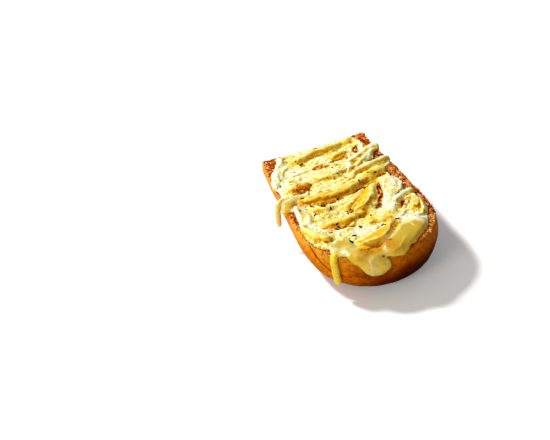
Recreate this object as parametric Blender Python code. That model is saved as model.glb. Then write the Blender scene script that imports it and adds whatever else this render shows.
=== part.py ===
"""Cheesy garlic toastie: half a long soft roll, toasted on its cut face and covered with melted cheese.

The roll lies on its crust with the toasted face up. Its knife-cut end faces +Y and its round end faces -Y.
The tables below give millimetres on the toasted face: x across the roll, y along it, counted from the middle
of the cut end, so that the round end's tip is at y = -150. Heights are counted from the face, z up.
"""

import math
import random

import bmesh
import bpy
from mathutils import Matrix, Vector, noise
from mathutils.bvhtree import BVHTree

MM = 0.001

# The half roll
ROLL_LENGTH = 150.0
ROLL_WIDTH = 76.0
CUT_END_WIDTH = 69.0
ROLL_DEPTH = 26.0
ROUND_END_START = 103.0
ROUND_END_POWERS = (2.0, 2.5)
FLAT_SPOT_DEPTH = 0.97
SIDE_POWER = 3.4
TIP_POWER = 4.2
SIDE_BULGE = 0.02
CORNER_LIFT = 2.4
CORNER_REACH = 10.0
RIM_WOBBLE = 0.7
RIM_WAVE = 22.0
FACE_RELIEF = 0.45
FACE_WAVE = 7.0

# The fold line on the crust beside the round end: height at its start, fall over the length, where it runs
CREASE_DEPTH = 0.9
CREASE_REACH = 1.6
CREASE_TOP = -1.0
CREASE_FALL = 0.42
CREASE_START = -118.0
CREASE_SPAN = (-140.0, -115.0)
CREASE_FADE = 6.0

CUT_STEPS = 6
SIDE_STEPS = 16
ROUND_STEPS = 14
FACE_RINGS = (0.95, 0.85, 0.7, 0.53, 0.36, 0.18)
WALL_RINGS = (0.05, 0.14, 0.25, 0.36, 0.47, 0.59, 0.71, 0.82, 0.905, FLAT_SPOT_DEPTH)
SPINE_BACK = -32.0

# The part's origin is under the middle of its box
ORIGIN = Vector((-2.481, -76.781, -ROLL_DEPTH))

# The melted cheese
BREAD_GAP = 0.32
MELT_THICKNESS = 1.35
MELT_RELIEF = 0.4
MELT_WAVE = 5.0
MELT_EDGE_SHARE = 0.45
MELT_STEP = 4.0
MELT_RINGS = (0.975, 0.89, 0.75, 0.57, 0.38, 0.19)
ROOT_DEPTH = 1.0
RIM_ROUNDING = 1.6
LOWEST_LAY = 0.9

STRAND_SIDES = 8
STRAND_STEP = 3.0
STRAND_LAY = 1.1
MIDDLE_SHAPE = ((0.0, 1.0),)
END_SHAPE = ((0.0, 0.95), (0.42, 0.62))
END_TIP = 0.68
DRIP_FLATNESS = 0.66
DRIP_BLEND = 0.5

POOL_STEP = 3.2
POOL_SPREAD = 9
POOL_RIM = 0.3
POOL_END = 0.45
POOL_RISE = 0.32
POOL_SOFTENING = 0.3

# Melting the joined pieces together takes CREST_LOSS off the highest ones
MELTING_VOXEL = 0.55
MELTING_ROUNDS = 5
CREST_LOSS = 0.4
CHEESE_TRIANGLES = 11600

# Edge of the melted base, clockwise from the back left
MELT_EDGE = (
    (-25, -9), (-22, -2.6), (-10, -1.8), (2, -1.8), (13, -1.5), (20, -1.6), (26, -3.5), (29, -11), (30, -20),
    (36.6, -22.5), (37.2, -27.5), (31, -31), (30, -41), (34, -43), (36.6, -46), (34.5, -51), (30.5, -54),
    (30, -66), (31.5, -78), (30.5, -89), (33.5, -94), (34, -107), (33, -118), (30.5, -127), (27, -135),
    (20, -142.4), (12, -148.2), (2, -150.6), (-10, -149.6), (-19, -145.3), (-26, -139.6), (-28.6, -135.5),
    (-28.5, -131), (-33, -126), (-35.5, -118), (-36.3, -108), (-34, -100), (-34.2, -88), (-34, -80.5),
    (-38.4, -77), (-38.9, -66), (-37.6, -60), (-36.4, -55), (-37.2, -45), (-36.6, -35), (-34.2, -27),
    (-29.3, -20),
)

# Places where the toast shows through: middle x and y, half length, half width, turn in degrees
BARE_PATCHES = (
    (17.8, -80.6, 6.0, 1.6, 81), (14.6, -92, 4.6, 1.7, 64), (11.2, -98.8, 3.6, 1.5, 50),
    (24.6, -63.6, 4.0, 1.7, 0), (6.2, -74.8, 7.5, 1.7, 25), (27, -40.6, 4.4, 2.2, 30),
    (24.2, -105, 5.4, 2.0, 78), (10.6, -29.4, 5.0, 1.3, 4), (23, -21, 5.2, 2.2, 76),
    (-24.5, -59.8, 8.0, 1.2, -4), (-14, -81, 7.0, 1.1, -4), (-5.2, -97, 3.4, 1.0, 28),
    (-14, -113.4, 8.0, 1.1, -6),
)

# Shreds and lumps that lie on the base: height of the crest over the face, then x, y and half width
# along the middle
SHREDS = (
    (4.0, ((-17.5, -17.6, 3.2), (-11, -15.2, 4.2), (-3, -11.8, 4.7), (5, -10.8, 4.7), (13, -9.3, 4.1))),
    (3.9, ((17.6, -7.4, 4.4), (22.4, -6.8, 4.6))),
    (3.5, ((6.8, -25.4, 2.4), (11, -24.2, 3.0), (15, -22, 2.6))),
    (2.9, ((-24, -7, 2.1), (-28.5, -20, 2.5), (-34.5, -33, 2.6), (-36.4, -46, 2.2))),
    (2.6, ((-23, -22, 1.8), (-30.5, -30, 2.2), (-33.8, -41, 1.9))),
    (2.7, ((24.6, -8, 2.0), (27, -16, 2.3), (25.5, -26, 2.0))),
    (3.3, ((9, -47, 2.2), (12.6, -39.5, 2.6), (20, -31.6, 2.6), (29, -25.6, 2.8), (35, -24.6, 3.2))),
    (2.8, ((14, -45.5, 1.8), (21, -40, 2.1), (28, -33, 2.2), (31, -28, 1.8))),
    (4.2, ((-30.5, -52.6, 3.5), (-25, -53.2, 4.8), (-19.4, -52, 4.1))),
    (3.9, ((-11, -47.6, 2.7), (-5.4, -49.2, 3.9), (0, -49, 4.2), (3.8, -47.6, 3.0))),
    (3.8, ((9.5, -54.6, 2.4), (17, -50.6, 3.2), (24, -48.4, 3.4), (30, -46.6, 3.3), (35.4, -43.8, 2.5))),
    (3.8, ((15, -62, 2.6), (19.6, -58.8, 3.3), (24.6, -57.4, 3.8), (28.6, -58.6, 3.0))),
    (4.4, ((18, -63.6, 3.0), (10, -65.8, 4.4), (1, -71.2, 5.0), (-7, -74.2, 5.5), (-15, -73.6, 5.7),
           (-22, -73.2, 4.8), (-27, -71.4, 3.6))),
    (4.0, ((14.8, -73.6, 2.3), (12.4, -81, 3.2), (8.8, -88.4, 4.1), (3.8, -95, 4.4), (-1.4, -101, 3.4))),
    (3.6, ((9, -80.6, 2.0), (3, -85.2, 3.1), (-3, -89.8, 3.3), (-6.6, -92.6, 2.6))),
    (2.5, ((-1.5, -81.8, 1.5), (4, -79.4, 1.8), (9.4, -76.6, 1.5))),
    (3.0, ((-24.4, -85.2, 2.5), (-19, -87.2, 3.3), (-13.4, -87.4, 2.5))),
    (2.6, ((-25.5, -95.4, 1.7), (-19, -96.2, 2.3), (-12.4, -93.4, 1.8))),
    (2.9, ((-30.6, -78, 3.0), (-30.8, -88, 3.4), (-30.4, -98, 3.0))),
    (3.5, ((25.2, -71, 5.0), (25.6, -79, 5.8), (24.8, -87, 5.2))),
    (3.2, ((21.4, -84, 2.8), (19.8, -93, 3.8), (17.4, -102, 4.3), (14.2, -110, 3.8))),
    (3.7, ((33, -92.4, 2.3), (28.6, -94.4, 3.0), (23, -98, 3.0), (18.6, -101, 2.2))),
    (3.9, ((-22.6, -105.2, 2.6), (-16.6, -107.4, 3.8), (-9.6, -107, 4.1), (-3, -104.6, 3.4),
           (1.4, -102.8, 2.2))),
    (3.8, ((-35, -102.4, 2.4), (-33.6, -109, 3.3), (-30.6, -115.6, 3.7), (-26.8, -120.4, 3.3),
           (-23.4, -122.4, 2.3))),
    (3.1, ((0.5, -111.6, 2.2), (5, -114, 2.7), (8.6, -116.2, 2.4), (12, -115.2, 1.8))),
    (3.4, ((30.9, -104.8, 1.4), (29.4, -109.6, 3.0), (27.4, -114, 4.0))),
    (2.9, ((31.8, -98, 1.8), (32.4, -108, 2.2), (31, -119, 2.0))),
    (2.7, ((28.6, -99.8, 1.5), (25.8, -106, 1.7), (21, -111.8, 1.6))),
    (4.3, ((11.2, -117.8, 1.9), (9.4, -123, 2.8), (5, -129, 4.2), (-2.4, -132.8, 5.1), (-9, -133.4, 4.2),
           (-13.4, -131.8, 2.7))),
    (2.7, ((14.4, -119, 1.3), (19, -116.4, 1.9), (23.4, -113.2, 1.5))),
    (3.0, ((19, -121.4, 2.0), (24, -123, 2.4), (28.6, -121, 2.0))),
)

# Glossy pools and runs, spread over the face and down the crust: thickness, then x, y and half width
# along the middle. A place past the rim lies as far down the crust as it is past the rim.
POOLS = (
    (3.6, ((27.5, -124.5, 4.4), (21.5, -130.6, 6.8), (13, -137.2, 8.4), (5, -143.8, 8.8),
           (-2.4, -149.2, 7.2))),
    (2.9, ((-20.4, -130.6, 4.6), (-18.4, -137.6, 6.0), (-14.8, -144.4, 7.4), (-11.6, -150.8, 7.8))),
    (3.4, ((-7.6, -146.4, 8.6), (-8.2, -149.8, 11.2), (-9.8, -153.4, 10.8), (-10.8, -156.8, 9.8),
           (-11.2, -159.6, 7.6))),
)

# Drips and folds that hang off the rim: x, y, z and half width along the middle
DRIPS = (
    ((-26.8, -134, 1.0, 2.1), (-28.2, -137.8, 0.4, 2.1), (-28.8, -139.4, -4.4, 2.0),
     (-28.6, -139.6, -10.0, 2.1), (-28.2, -138.6, -15.8, 2.2)),
    ((-26, -66, 1.8, 3.2), (-31.6, -68.8, 2.0, 4.1), (-36.4, -72.8, 1.8, 4.3), (-38.6, -76, 0.4, 3.4)),
    ((-30.5, -61.4, 1.5, 2.0), (-36.4, -62.2, 1.9, 2.2), (-40.4, -65, 0.0, 2.2), (-41.9, -67.4, -4.6, 2.1),
     (-42.6, -69.4, -10.6, 2.0)),
)

# Curds: half melted scraps that are scattered over the base, with their sizes in millimetres
CURD_COUNT = 230
CURD_SEED = 7
CURD_LENGTHS = (1.5, 4.4)
CURD_WIDTHS = (0.8, 1.6)
CURD_CRESTS = (2.0, 3.1)
CURD_MARGIN = 3.0

# Herb flecks: x, y, length and turn in degrees
FLECKS = (
    (-14.4, -24.6, 2.7, 70), (-20.4, -30.4, 1.8, 80), (5.2, -28, 2.0, 60), (1.6, -37.6, 2.0, 40),
    (-33.6, -45, 1.8, 75), (-26.6, -71.8, 2.6, -25), (-18, -86.8, 2.6, 10), (-14.6, -89.2, 2.2, 60),
    (-25, -92.2, 2.2, -50), (-7.6, -79.4, 2.2, 80), (9.4, -68.6, 2.0, 60), (17.8, -60.2, 2.0, 80),
    (23.6, -95, 3.0, -55), (-15.6, -130.6, 3.2, 82), (-12.2, -125, 2.4, 5), (5.4, -121.4, 2.2, -20),
    (14.2, -120.8, 2.4, -15), (5.4, -126.8, 2.0, 70), (-6, -117, 2.2, 60), (-22.2, -114.8, 1.9, 70),
    (-17, -109.6, 2.2, 55), (3.2, -107.8, 1.8, 30), (-31.6, -84.4, 1.8, 60), (22, -60.8, 1.9, 20),
)
FLECK_WIDTH = 0.42
FLECK_THICKNESS = 0.3

# The oval cutter of a bare patch narrows towards the toast
PATCH_SIDES = 10
PATCH_DEPTH = 8.0
PATCH_TAPER = (0.8, 1.1)

ABOVE_ALL = 20.0
DOWN = Vector((0, 0, -1))
SMOOTH_ANGLE = math.radians(50)
CRUST_COLOUR = (0.62, 0.30, 0.09)
CHEESE_COLOUR = (0.86, 0.72, 0.27)


def clear_scene():
    for obj in list(bpy.data.objects):
        bpy.data.objects.remove(obj)


def rim():
    """(x, y) of the face's edge, from the middle of the cut end round the left side, tip and right side."""
    cut, wide = CUT_END_WIDTH / 2, ROLL_WIDTH / 2
    left = [(-cut * k / CUT_STEPS, 0.0) for k in range(CUT_STEPS)]
    for k in range(SIDE_STEPS):
        share = k / SIDE_STEPS
        half = cut + (wide - cut) * math.sin(share * math.pi / 2)
        left.append((-half, -ROUND_END_START * share))
    for k in range(ROUND_STEPS + 1):
        angle = math.pi / 2 * k / ROUND_STEPS
        across = max(math.cos(angle), 0.0) ** (2 / ROUND_END_POWERS[0])
        along = math.sin(angle) ** (2 / ROUND_END_POWERS[1])
        left.append((-wide * across, -ROUND_END_START - (ROLL_LENGTH - ROUND_END_START) * along))
    right = [(-x, y) for x, y in reversed(left[1:-1])]
    return left + right


def spine_of(y):
    """Where on the roll's middle line the face's rings shrink to."""
    return min(max(y, -ROUND_END_START), SPINE_BACK)


def towards_spine(x, y, share):
    spine = spine_of(y)
    return x * share, spine + (y - spine) * share


def face_height(x, y):
    """Height of the toasted face over its own mean plane."""
    crumb = FACE_RELIEF * noise.noise(Vector((x, y, 0)) / FACE_WAVE)
    corner = math.hypot(x - CUT_END_WIDTH / 2, y) / CORNER_REACH
    return crumb + CORNER_LIFT * math.exp(-corner * corner)


def crease_depth(x, y, z):
    """Depth of the fold line that runs down the crust beside the round end's left."""
    if x > 0 or y > -ROUND_END_START:
        return 0.0
    off = (z - CREASE_TOP - CREASE_FALL * (y - CREASE_START)) / CREASE_REACH
    low, high = CREASE_SPAN
    fade = min(1.0, max(0.0, min(high - y, y - low) / CREASE_FADE))
    return CREASE_DEPTH * fade * math.exp(-off * off)


def wall_point(x, y, depth):
    """A rim point carried down the crust to this share of the roll's depth."""
    swell = 1 + SIDE_BULGE * math.sin(math.pi * min(2 * depth, 1.0))
    side = swell * (1 - depth**SIDE_POWER) ** (1 / SIDE_POWER)
    end = swell * (1 - depth**TIP_POWER) ** (1 / TIP_POWER)
    back = y if y > -ROUND_END_START else -ROUND_END_START + (y + ROUND_END_START) * end
    fade = 1 - depth / FLAT_SPOT_DEPTH
    z = ROLL_DEPTH * (fade - 1) + face_height(x, y) * max(0.0, 1 - 3 * depth)
    wobble = RIM_WOBBLE * min(1.0, 3 * fade) * noise.noise(Vector((x, y, ROLL_DEPTH * depth)) / RIM_WAVE)
    outward = Vector((x, back - spine_of(y), 0)).normalized()
    place = Vector((x * side, back, z)) + outward * (wobble - crease_depth(x, y, z))
    if y == 0:
        place.y = 0.0
    return place


def ring_faces(mesh, upper, lower):
    """Quads between two rings of equal length, upper ring first."""
    count = len(upper)
    for k in range(count):
        after = (k + 1) % count
        mesh.faces.new((upper[k], lower[k], lower[after], upper[after]))


def zip_shut(mesh, ring):
    """Closes a long ring: one face along its straight row at the cut end, then quads from left to right."""
    count = len(ring)
    row = CUT_STEPS + 1
    mesh.faces.new(ring[-row:] + ring[: row + 1])
    for k in range(row, count // 2):
        corners = (ring[k], ring[k + 1], ring[count - k - 1], ring[-k])
        mesh.faces.new(list(dict.fromkeys(corners)))


def roll_mesh():
    """The half roll: rings that widen over the face, then go down the crust to a small flat spot."""
    mesh = bmesh.new()
    edge = rim()
    rings = []
    for share in reversed(FACE_RINGS):
        inner = [towards_spine(x, y, share) for x, y in edge]
        rings.append([mesh.verts.new((x, y, face_height(x, y))) for x, y in inner])
    for depth in (0.0, *WALL_RINGS):
        rings.append([mesh.verts.new(wall_point(x, y, depth)) for x, y in edge])
    for upper, lower in zip(rings, rings[1:]):
        ring_faces(mesh, upper, lower)
    zip_shut(mesh, rings[0])
    zip_shut(mesh, rings[-1])
    bmesh.ops.recalc_face_normals(mesh, faces=mesh.faces)
    return mesh


def grown(mesh, distance):
    """The same shape with every point moved out along its normal."""
    mesh.normal_update()
    moves = [vert.normal * distance * min(vert.calc_shell_factor(), 1.6) for vert in mesh.verts]
    for vert, move in zip(mesh.verts, moves):
        vert.co += move
    return mesh


def curve_through(points, step, closed=False):
    """Points about one step apart on a smooth curve through the given ones."""
    points = [Vector(point).to_3d() for point in points]
    count = len(points)
    spans = count if closed else count - 1
    result = []
    for k in range(spans):
        if closed:
            a, b, c, d = (points[(k + shift) % count] for shift in (-1, 0, 1, 2))
        else:
            b, c = points[k], points[k + 1]
            a = points[k - 1] if k else 2 * b - c
            d = points[k + 2] if k + 2 < count else 2 * c - b
        pieces = max(1, round((c - b).length / step))
        for piece in range(pieces):
            t = piece / pieces
            bend = 2 * b + (c - a) * t + (2 * a - 5 * b + 4 * c - d) * t * t + (3 * b - a - 3 * c + d) * t**3
            result.append(bend / 2)
    if not closed:
        result.append(points[-1])
    return result


def past_rim(x, y, edge):
    """Nearest point of the rim, the way out of the roll there in plan, and how far past the rim (x, y) is."""
    place = Vector((x, y))
    best = None
    for k, start in enumerate(edge):
        start, end = Vector(start), Vector(edge[(k + 1) % len(edge)])
        span = end - start
        share = min(1.0, max(0.0, (place - start).dot(span) / span.length_squared))
        near = start + span * share
        gap = (place - near).length
        if best is None or gap < best[1]:
            best = (near, gap, Vector((span.y, -span.x)).normalized())
    near, gap, outward = best
    return near, outward, gap if (place - near).dot(outward) > 0 else -gap


def laid(x, y, height, edge):
    """The point this high over the roll's surface, and the way up there, rounded off over the rim."""
    near, outward, past = past_rim(x, y, edge)
    if past > 0:
        base = wall_point(near.x, near.y, min(past / ROLL_DEPTH, LOWEST_LAY))
    else:
        base = Vector((x, y, face_height(x, y)))
    lean = min(1.0, max(0.0, (past / RIM_ROUNDING + 1) / 2))
    up = Vector((0, 0, 1)).lerp(outward.to_3d(), lean * lean * (3 - 2 * lean)).normalized()
    return base + up * height, up


def closed_from(mesh, rings):
    """Joins rings into a skin and closes both ends."""
    for first, second in zip(rings, rings[1:]):
        ring_faces(mesh, first, second)
    mesh.faces.new(rings[0])
    mesh.faces.new(rings[-1])
    bmesh.ops.triangulate(mesh, faces=[face for face in mesh.faces if len(face.verts) > 4])
    bmesh.ops.recalc_face_normals(mesh, faces=mesh.faces)
    return mesh


def melt_mesh(edge):
    """The thin melted base, from under the face up to an uneven top, wide as its edge table says."""
    mesh = bmesh.new()
    border = [(point.x, point.y) for point in curve_through(MELT_EDGE, MELT_STEP, closed=True)]
    rings = []
    for share in reversed(MELT_RINGS):
        ring = []
        for x, y in (towards_spine(x, y, share) for x, y in border):
            swell = MELT_RELIEF * noise.noise(Vector((x, y, 0)) / MELT_WAVE)
            ring.append(mesh.verts.new(laid(x, y, MELT_THICKNESS + swell, edge)[0]))
        rings.append(ring)
    for height in (MELT_THICKNESS * MELT_EDGE_SHARE, -ROOT_DEPTH):
        rings.append([mesh.verts.new(laid(x, y, height, edge)[0]) for x, y in border])
    return closed_from(mesh, rings)


def pool_mesh(thickness, path, edge):
    """A broad glossy run that follows the roll's surface, domed across and rounded at both ends."""
    mesh = bmesh.new()
    points = curve_through(path, POOL_STEP)
    last = len(points) - 1
    rings = []
    for k, point in enumerate(points):
        along = (points[min(k + 1, last)] - points[max(k - 1, 0)]).xy.normalized()
        across = Vector((-along.y, along.x))
        end = min(1.0, POOL_END + POOL_RISE * min(k, last - k))
        offsets = [2 * side / (POOL_SPREAD - 1) - 1 for side in range(POOL_SPREAD)]
        spots = [(point.xy + across * share * point.z * end, share) for share in offsets]
        tops = [(spot, thickness * end * (1 - share**4) ** 0.5) for spot, share in spots]
        ring = [laid(spot.x, spot.y, max(height, POOL_RIM), edge)[0] for spot, height in tops]
        ring += [laid(spot.x, spot.y, -ROOT_DEPTH, edge)[0] for spot, share in reversed(spots)]
        rings.append([mesh.verts.new(place) for place in ring])
    closed_from(mesh, rings)
    bmesh.ops.smooth_vert(
        mesh, verts=mesh.verts, factor=POOL_SOFTENING, use_axis_x=True, use_axis_y=True, use_axis_z=True
    )
    return mesh


def strand_mesh(stops):
    """A soft oval strand with rounded ends. A stop is a point, the way up, half width and half height."""
    mesh = bmesh.new()
    last = len(stops) - 1
    rings = []
    tips = []
    for k, (point, up, half_width, half_height) in enumerate(stops):
        along = (stops[min(k + 1, last)][0] - stops[max(k - 1, 0)][0]).normalized()
        across = along.cross(up).normalized()
        lift = across.cross(along) * half_height
        outward = along * half_width * (-1 if k == 0 else 1)
        shape = END_SHAPE if k in (0, last) else MIDDLE_SHAPE
        for reach, size in reversed(shape) if k == 0 else shape:
            middle = point + outward * reach
            angles = [2 * math.pi * (side + 0.5) / STRAND_SIDES for side in range(STRAND_SIDES)]
            turns = [across * half_width * math.cos(angle) + lift * math.sin(angle) for angle in angles]
            rings.append([mesh.verts.new(middle + turn * size) for turn in turns])
        if k in (0, last):
            tips.append(mesh.verts.new(point + outward * END_TIP))
    for first, second in zip(rings, rings[1:]):
        ring_faces(mesh, first, second)
    for ring, tip in zip((rings[0], rings[-1]), tips):
        for side in range(STRAND_SIDES):
            mesh.faces.new((ring[side], ring[(side + 1) % STRAND_SIDES], tip))
    bmesh.ops.recalc_face_normals(mesh, faces=mesh.faces)
    return mesh


def shred_mesh(crest, path, edge):
    """A shred that lies on the base, its crest this high over the face where it is widest."""
    widest = max(half_width for x, y, half_width in path)
    highest = crest + CREST_LOSS - STRAND_LAY
    stops = []
    for x, y, half_width in curve_through(path, STRAND_STEP):
        point, up = laid(x, y, STRAND_LAY, edge)
        stops.append((point, up, half_width, highest * math.sqrt(half_width / widest)))
    return strand_mesh(stops)


def half_width_at(point, path):
    """Half width of a drip beside a point of its middle line, by nearness to the stops of its path."""
    shares = [(half_width, 1 / ((point - Vector(place)).length + DRIP_BLEND)) for *place, half_width in path]
    return sum(half_width * share for half_width, share in shares) / sum(share for _, share in shares)


def drip_mesh(path, bread):
    """A strand that hangs off the rim, beside the crust."""
    middle = curve_through([stop[:3] for stop in path], STRAND_STEP)
    stops = []
    for point in middle:
        half_width = half_width_at(point, path)
        stops.append((point, bread.find_nearest(point)[1], half_width, half_width * DRIP_FLATNESS))
    return strand_mesh(stops)


def patch_mesh(x, y, half_length, half_width, turn):
    """An oval cutter that opens the melted base down to the toast."""
    mesh = bmesh.new()
    place = Matrix.Translation((x, y, 0)) @ Matrix.Rotation(math.radians(turn), 4, "Z")
    place = place @ Matrix.Diagonal((half_length, half_width, 1, 1))
    low, high = PATCH_TAPER
    bmesh.ops.create_cone(
        mesh, cap_ends=True, segments=PATCH_SIDES, radius1=low, radius2=high, depth=PATCH_DEPTH, matrix=place
    )
    return mesh


def top_of(obj):
    """The object's surface in millimetres on the face, for rays."""
    places = [vert.co / MM + ORIGIN for vert in obj.data.vertices]
    return BVHTree.FromPolygons(places, [face.vertices[:] for face in obj.data.polygons])


def fleck_mesh(x, y, length, turn, top):
    """A leaf scrap of dried herb, pressed into the cheese under it."""
    height = top.ray_cast(Vector((x, y, ABOVE_ALL)), DOWN)[0].z
    mesh = bmesh.new()
    place = Matrix.Translation((x, y, height)) @ Matrix.Rotation(math.radians(turn), 4, "Z")
    place = place @ Matrix.Diagonal((length / 2, length * FLECK_WIDTH / 2, FLECK_THICKNESS, 1))
    bmesh.ops.create_uvsphere(mesh, u_segments=6, v_segments=4, radius=1, matrix=place)
    return mesh


def curd_mesh(draw, base):
    """A half melted scrap of cheese on a random spot of the base, or none where there is no base."""
    x = draw.uniform(-ROLL_WIDTH, ROLL_WIDTH) / 2
    y = draw.uniform(-ROLL_LENGTH, 0.0)
    length, width, crest = (draw.uniform(*span) for span in (CURD_LENGTHS, CURD_WIDTHS, CURD_CRESTS))
    turn = draw.uniform(0, math.pi)
    around = [(x + CURD_MARGIN * dx, y + CURD_MARGIN * dy) for dx, dy in ((1, 0), (-1, 0), (0, 1), (0, -1))]
    if not all(base.ray_cast(Vector((*spot, ABOVE_ALL)), DOWN)[0] for spot in around):
        return None
    mesh = bmesh.new()
    place = Matrix.Translation((x, y, 0.0)) @ Matrix.Rotation(turn, 4, "Z")
    place = place @ Matrix.Diagonal((length, width, crest, 1))
    bmesh.ops.create_icosphere(mesh, subdivisions=2, radius=1, matrix=place)
    return mesh


def object_from(name, mesh, collection):
    """An object in the part's own frame, in metres, from a mesh in millimetres on the face."""
    bmesh.ops.transform(mesh, matrix=Matrix.Scale(MM, 4) @ Matrix.Translation(-ORIGIN), verts=mesh.verts)
    data = bpy.data.meshes.new(name)
    mesh.to_mesh(data)
    mesh.free()
    made = bpy.data.objects.new(name, data)
    collection.objects.link(made)
    return made


def applied(obj, kind, **settings):
    """Puts one modifier on an object and applies it."""
    modifier = obj.modifiers.new(kind.lower(), kind)
    for name, value in settings.items():
        setattr(modifier, name, value)
    result = bpy.data.meshes.new_from_object(obj.evaluated_get(bpy.context.evaluated_depsgraph_get()))
    obj.modifiers.clear()
    obj.data = result


def fused(obj, operation, name, meshes, scene):
    """Applies one Boolean between an object and a collection made of these meshes, which is then removed."""
    others = bpy.data.collections.new(name)
    scene.children.link(others)
    for mesh in meshes:
        object_from(name, mesh, others)
    applied(obj, "BOOLEAN", operation=operation, solver="EXACT", operand_type="COLLECTION", collection=others)
    for used in list(others.objects):
        bpy.data.objects.remove(used)
    bpy.data.collections.remove(others)


def melted(obj):
    """Lets the joined pieces flow into one another: an even fine mesh, smoothed, then thinned out."""
    applied(obj, "REMESH", mode="VOXEL", voxel_size=MELTING_VOXEL * MM)
    applied(obj, "SMOOTH", factor=0.5, iterations=MELTING_ROUNDS)
    triangles = sum(len(face.vertices) - 2 for face in obj.data.polygons)
    applied(obj, "DECIMATE", ratio=CHEESE_TRIANGLES / triangles, use_collapse_triangulate=True)


def keep_largest_body(obj):
    """Drops the loose scraps that the cuts leave."""
    mesh = bmesh.new()
    mesh.from_mesh(obj.data)
    unseen = set(mesh.verts)
    bodies = []
    while unseen:
        body = set()
        front = [unseen.pop()]
        while front:
            vert = front.pop()
            body.add(vert)
            near = {edge.other_vert(vert) for edge in vert.link_edges} & unseen
            unseen -= near
            front.extend(near)
        bodies.append(body)
    largest = max(bodies, key=len)
    scraps = [vert for body in bodies if body is not largest for vert in body]
    bmesh.ops.delete(mesh, geom=scraps, context="VERTS")
    mesh.to_mesh(obj.data)
    mesh.free()


def material(name, colour, roughness):
    made = bpy.data.materials.new(name)
    made.use_nodes = True
    shader = made.node_tree.nodes["Principled BSDF"]
    shader.inputs["Base Color"].default_value = (*colour, 1)
    shader.inputs["Roughness"].default_value = roughness
    return made


def finish(obj, look):
    obj.data.materials.clear()
    obj.data.materials.append(look)
    obj.data.shade_smooth()
    obj.data.set_sharp_from_angle(angle=SMOOTH_ANGLE)


def make_bread(scene):
    bread = object_from("bread", roll_mesh(), scene)
    finish(bread, material("baked_crust", CRUST_COLOUR, 0.45))


def make_cheese(scene):
    edge = rim()
    roll = roll_mesh()
    bread = BVHTree.FromBMesh(roll)
    melt = melt_mesh(edge)
    base = BVHTree.FromBMesh(melt)
    draw = random.Random(CURD_SEED)
    curds = [curd_mesh(draw, base) for _ in range(CURD_COUNT)]
    strands = [shred_mesh(*shred, edge) for shred in SHREDS]
    strands += [pool_mesh(*pool, edge) for pool in POOLS]
    strands += [drip_mesh(drip, bread) for drip in DRIPS]
    patches = [patch_mesh(*patch) for patch in BARE_PATCHES]
    cheese = object_from("melted_cheese", melt, scene)
    fused(cheese, "UNION", "curd", [curd for curd in curds if curd], scene)
    fused(cheese, "DIFFERENCE", "bare_patch", patches, scene)
    fused(cheese, "UNION", "strand", strands, scene)
    melted(cheese)
    top = top_of(cheese)
    fused(cheese, "UNION", "fleck", [fleck_mesh(*fleck, top) for fleck in FLECKS], scene)
    fused(cheese, "DIFFERENCE", "roll_cutter", [grown(roll, BREAD_GAP)], scene)
    keep_largest_body(cheese)
    finish(cheese, material("melted_cheese", CHEESE_COLOUR, 0.3))


def main():
    clear_scene()
    scene = bpy.context.scene.collection
    make_bread(scene)
    make_cheese(scene)


main()
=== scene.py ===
import math
import random

import bpy
import numpy as np
from mathutils import Matrix, Vector, noise
from mathutils.bvhtree import BVHTree


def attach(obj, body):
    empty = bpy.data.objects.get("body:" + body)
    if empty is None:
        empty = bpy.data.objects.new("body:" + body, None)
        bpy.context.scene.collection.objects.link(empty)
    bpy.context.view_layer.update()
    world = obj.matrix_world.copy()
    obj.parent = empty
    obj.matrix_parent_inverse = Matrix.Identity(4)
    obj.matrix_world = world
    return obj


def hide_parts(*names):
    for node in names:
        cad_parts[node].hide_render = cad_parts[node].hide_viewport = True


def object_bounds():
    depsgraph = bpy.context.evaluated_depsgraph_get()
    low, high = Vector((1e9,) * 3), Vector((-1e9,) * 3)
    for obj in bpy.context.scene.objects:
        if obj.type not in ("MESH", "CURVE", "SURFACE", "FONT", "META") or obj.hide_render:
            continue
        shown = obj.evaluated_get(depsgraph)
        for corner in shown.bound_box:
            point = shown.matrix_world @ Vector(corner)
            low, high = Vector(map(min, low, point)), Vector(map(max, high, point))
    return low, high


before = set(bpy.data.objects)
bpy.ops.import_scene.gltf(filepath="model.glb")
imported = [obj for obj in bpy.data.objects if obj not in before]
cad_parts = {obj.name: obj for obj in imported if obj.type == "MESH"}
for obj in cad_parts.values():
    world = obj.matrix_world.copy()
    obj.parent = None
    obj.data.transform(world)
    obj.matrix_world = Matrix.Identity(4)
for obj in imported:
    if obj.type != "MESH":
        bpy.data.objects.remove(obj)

CAD_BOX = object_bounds()
bpy.ops.object.select_all(action="DESELECT")

MM = 0.001

# The middle of the cut end on the toasted face. The tables are millimetres from there: x across the roll,
# y along it, so that the round end's tip is at y = -150, and z up from the face.
FACE = Vector((2.481, 76.781, 26.0))
ROLL_DEPTH = 26.0

# Camera, as fitted to the roll's rim and outline
IMAGE_WIDTH = 550
FOCAL_PIXELS = 1062.27
SENSOR_WIDTH = 36.0
CAMERA_PLACE = (-129.84, -612.65, 289.73)
CAMERA_RIGHT = (0.955, -0.24283, -0.17029)
CAMERA_UP = (0.2632, 0.42923, 0.864)
CAMERA_BACK = (-0.13672, -0.86994, 0.47383)

# Bread: the mesh's fineness, rounds of smoothing, half the roll's width, and the pores and the fold
BREAD_VOXEL = 0.62
BREAD_SMOOTHING = 4
CRUMB_HALF_WIDTH = 34.5
PORES = 330
PORE_DEPTH = 0.55
FOLD_WIDTH = 0.9
FOLD_DEPTH = 1.1

# Relief of the bread: how wide its lumps are and how deep
FACE_CRUMBS = (1.5, 1.1)
FACE_SWELL = (5, 0.5)
END_CRUMBS = (1.6, 0.6)
CRUST_WAVES = (11, 0.7)

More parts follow.
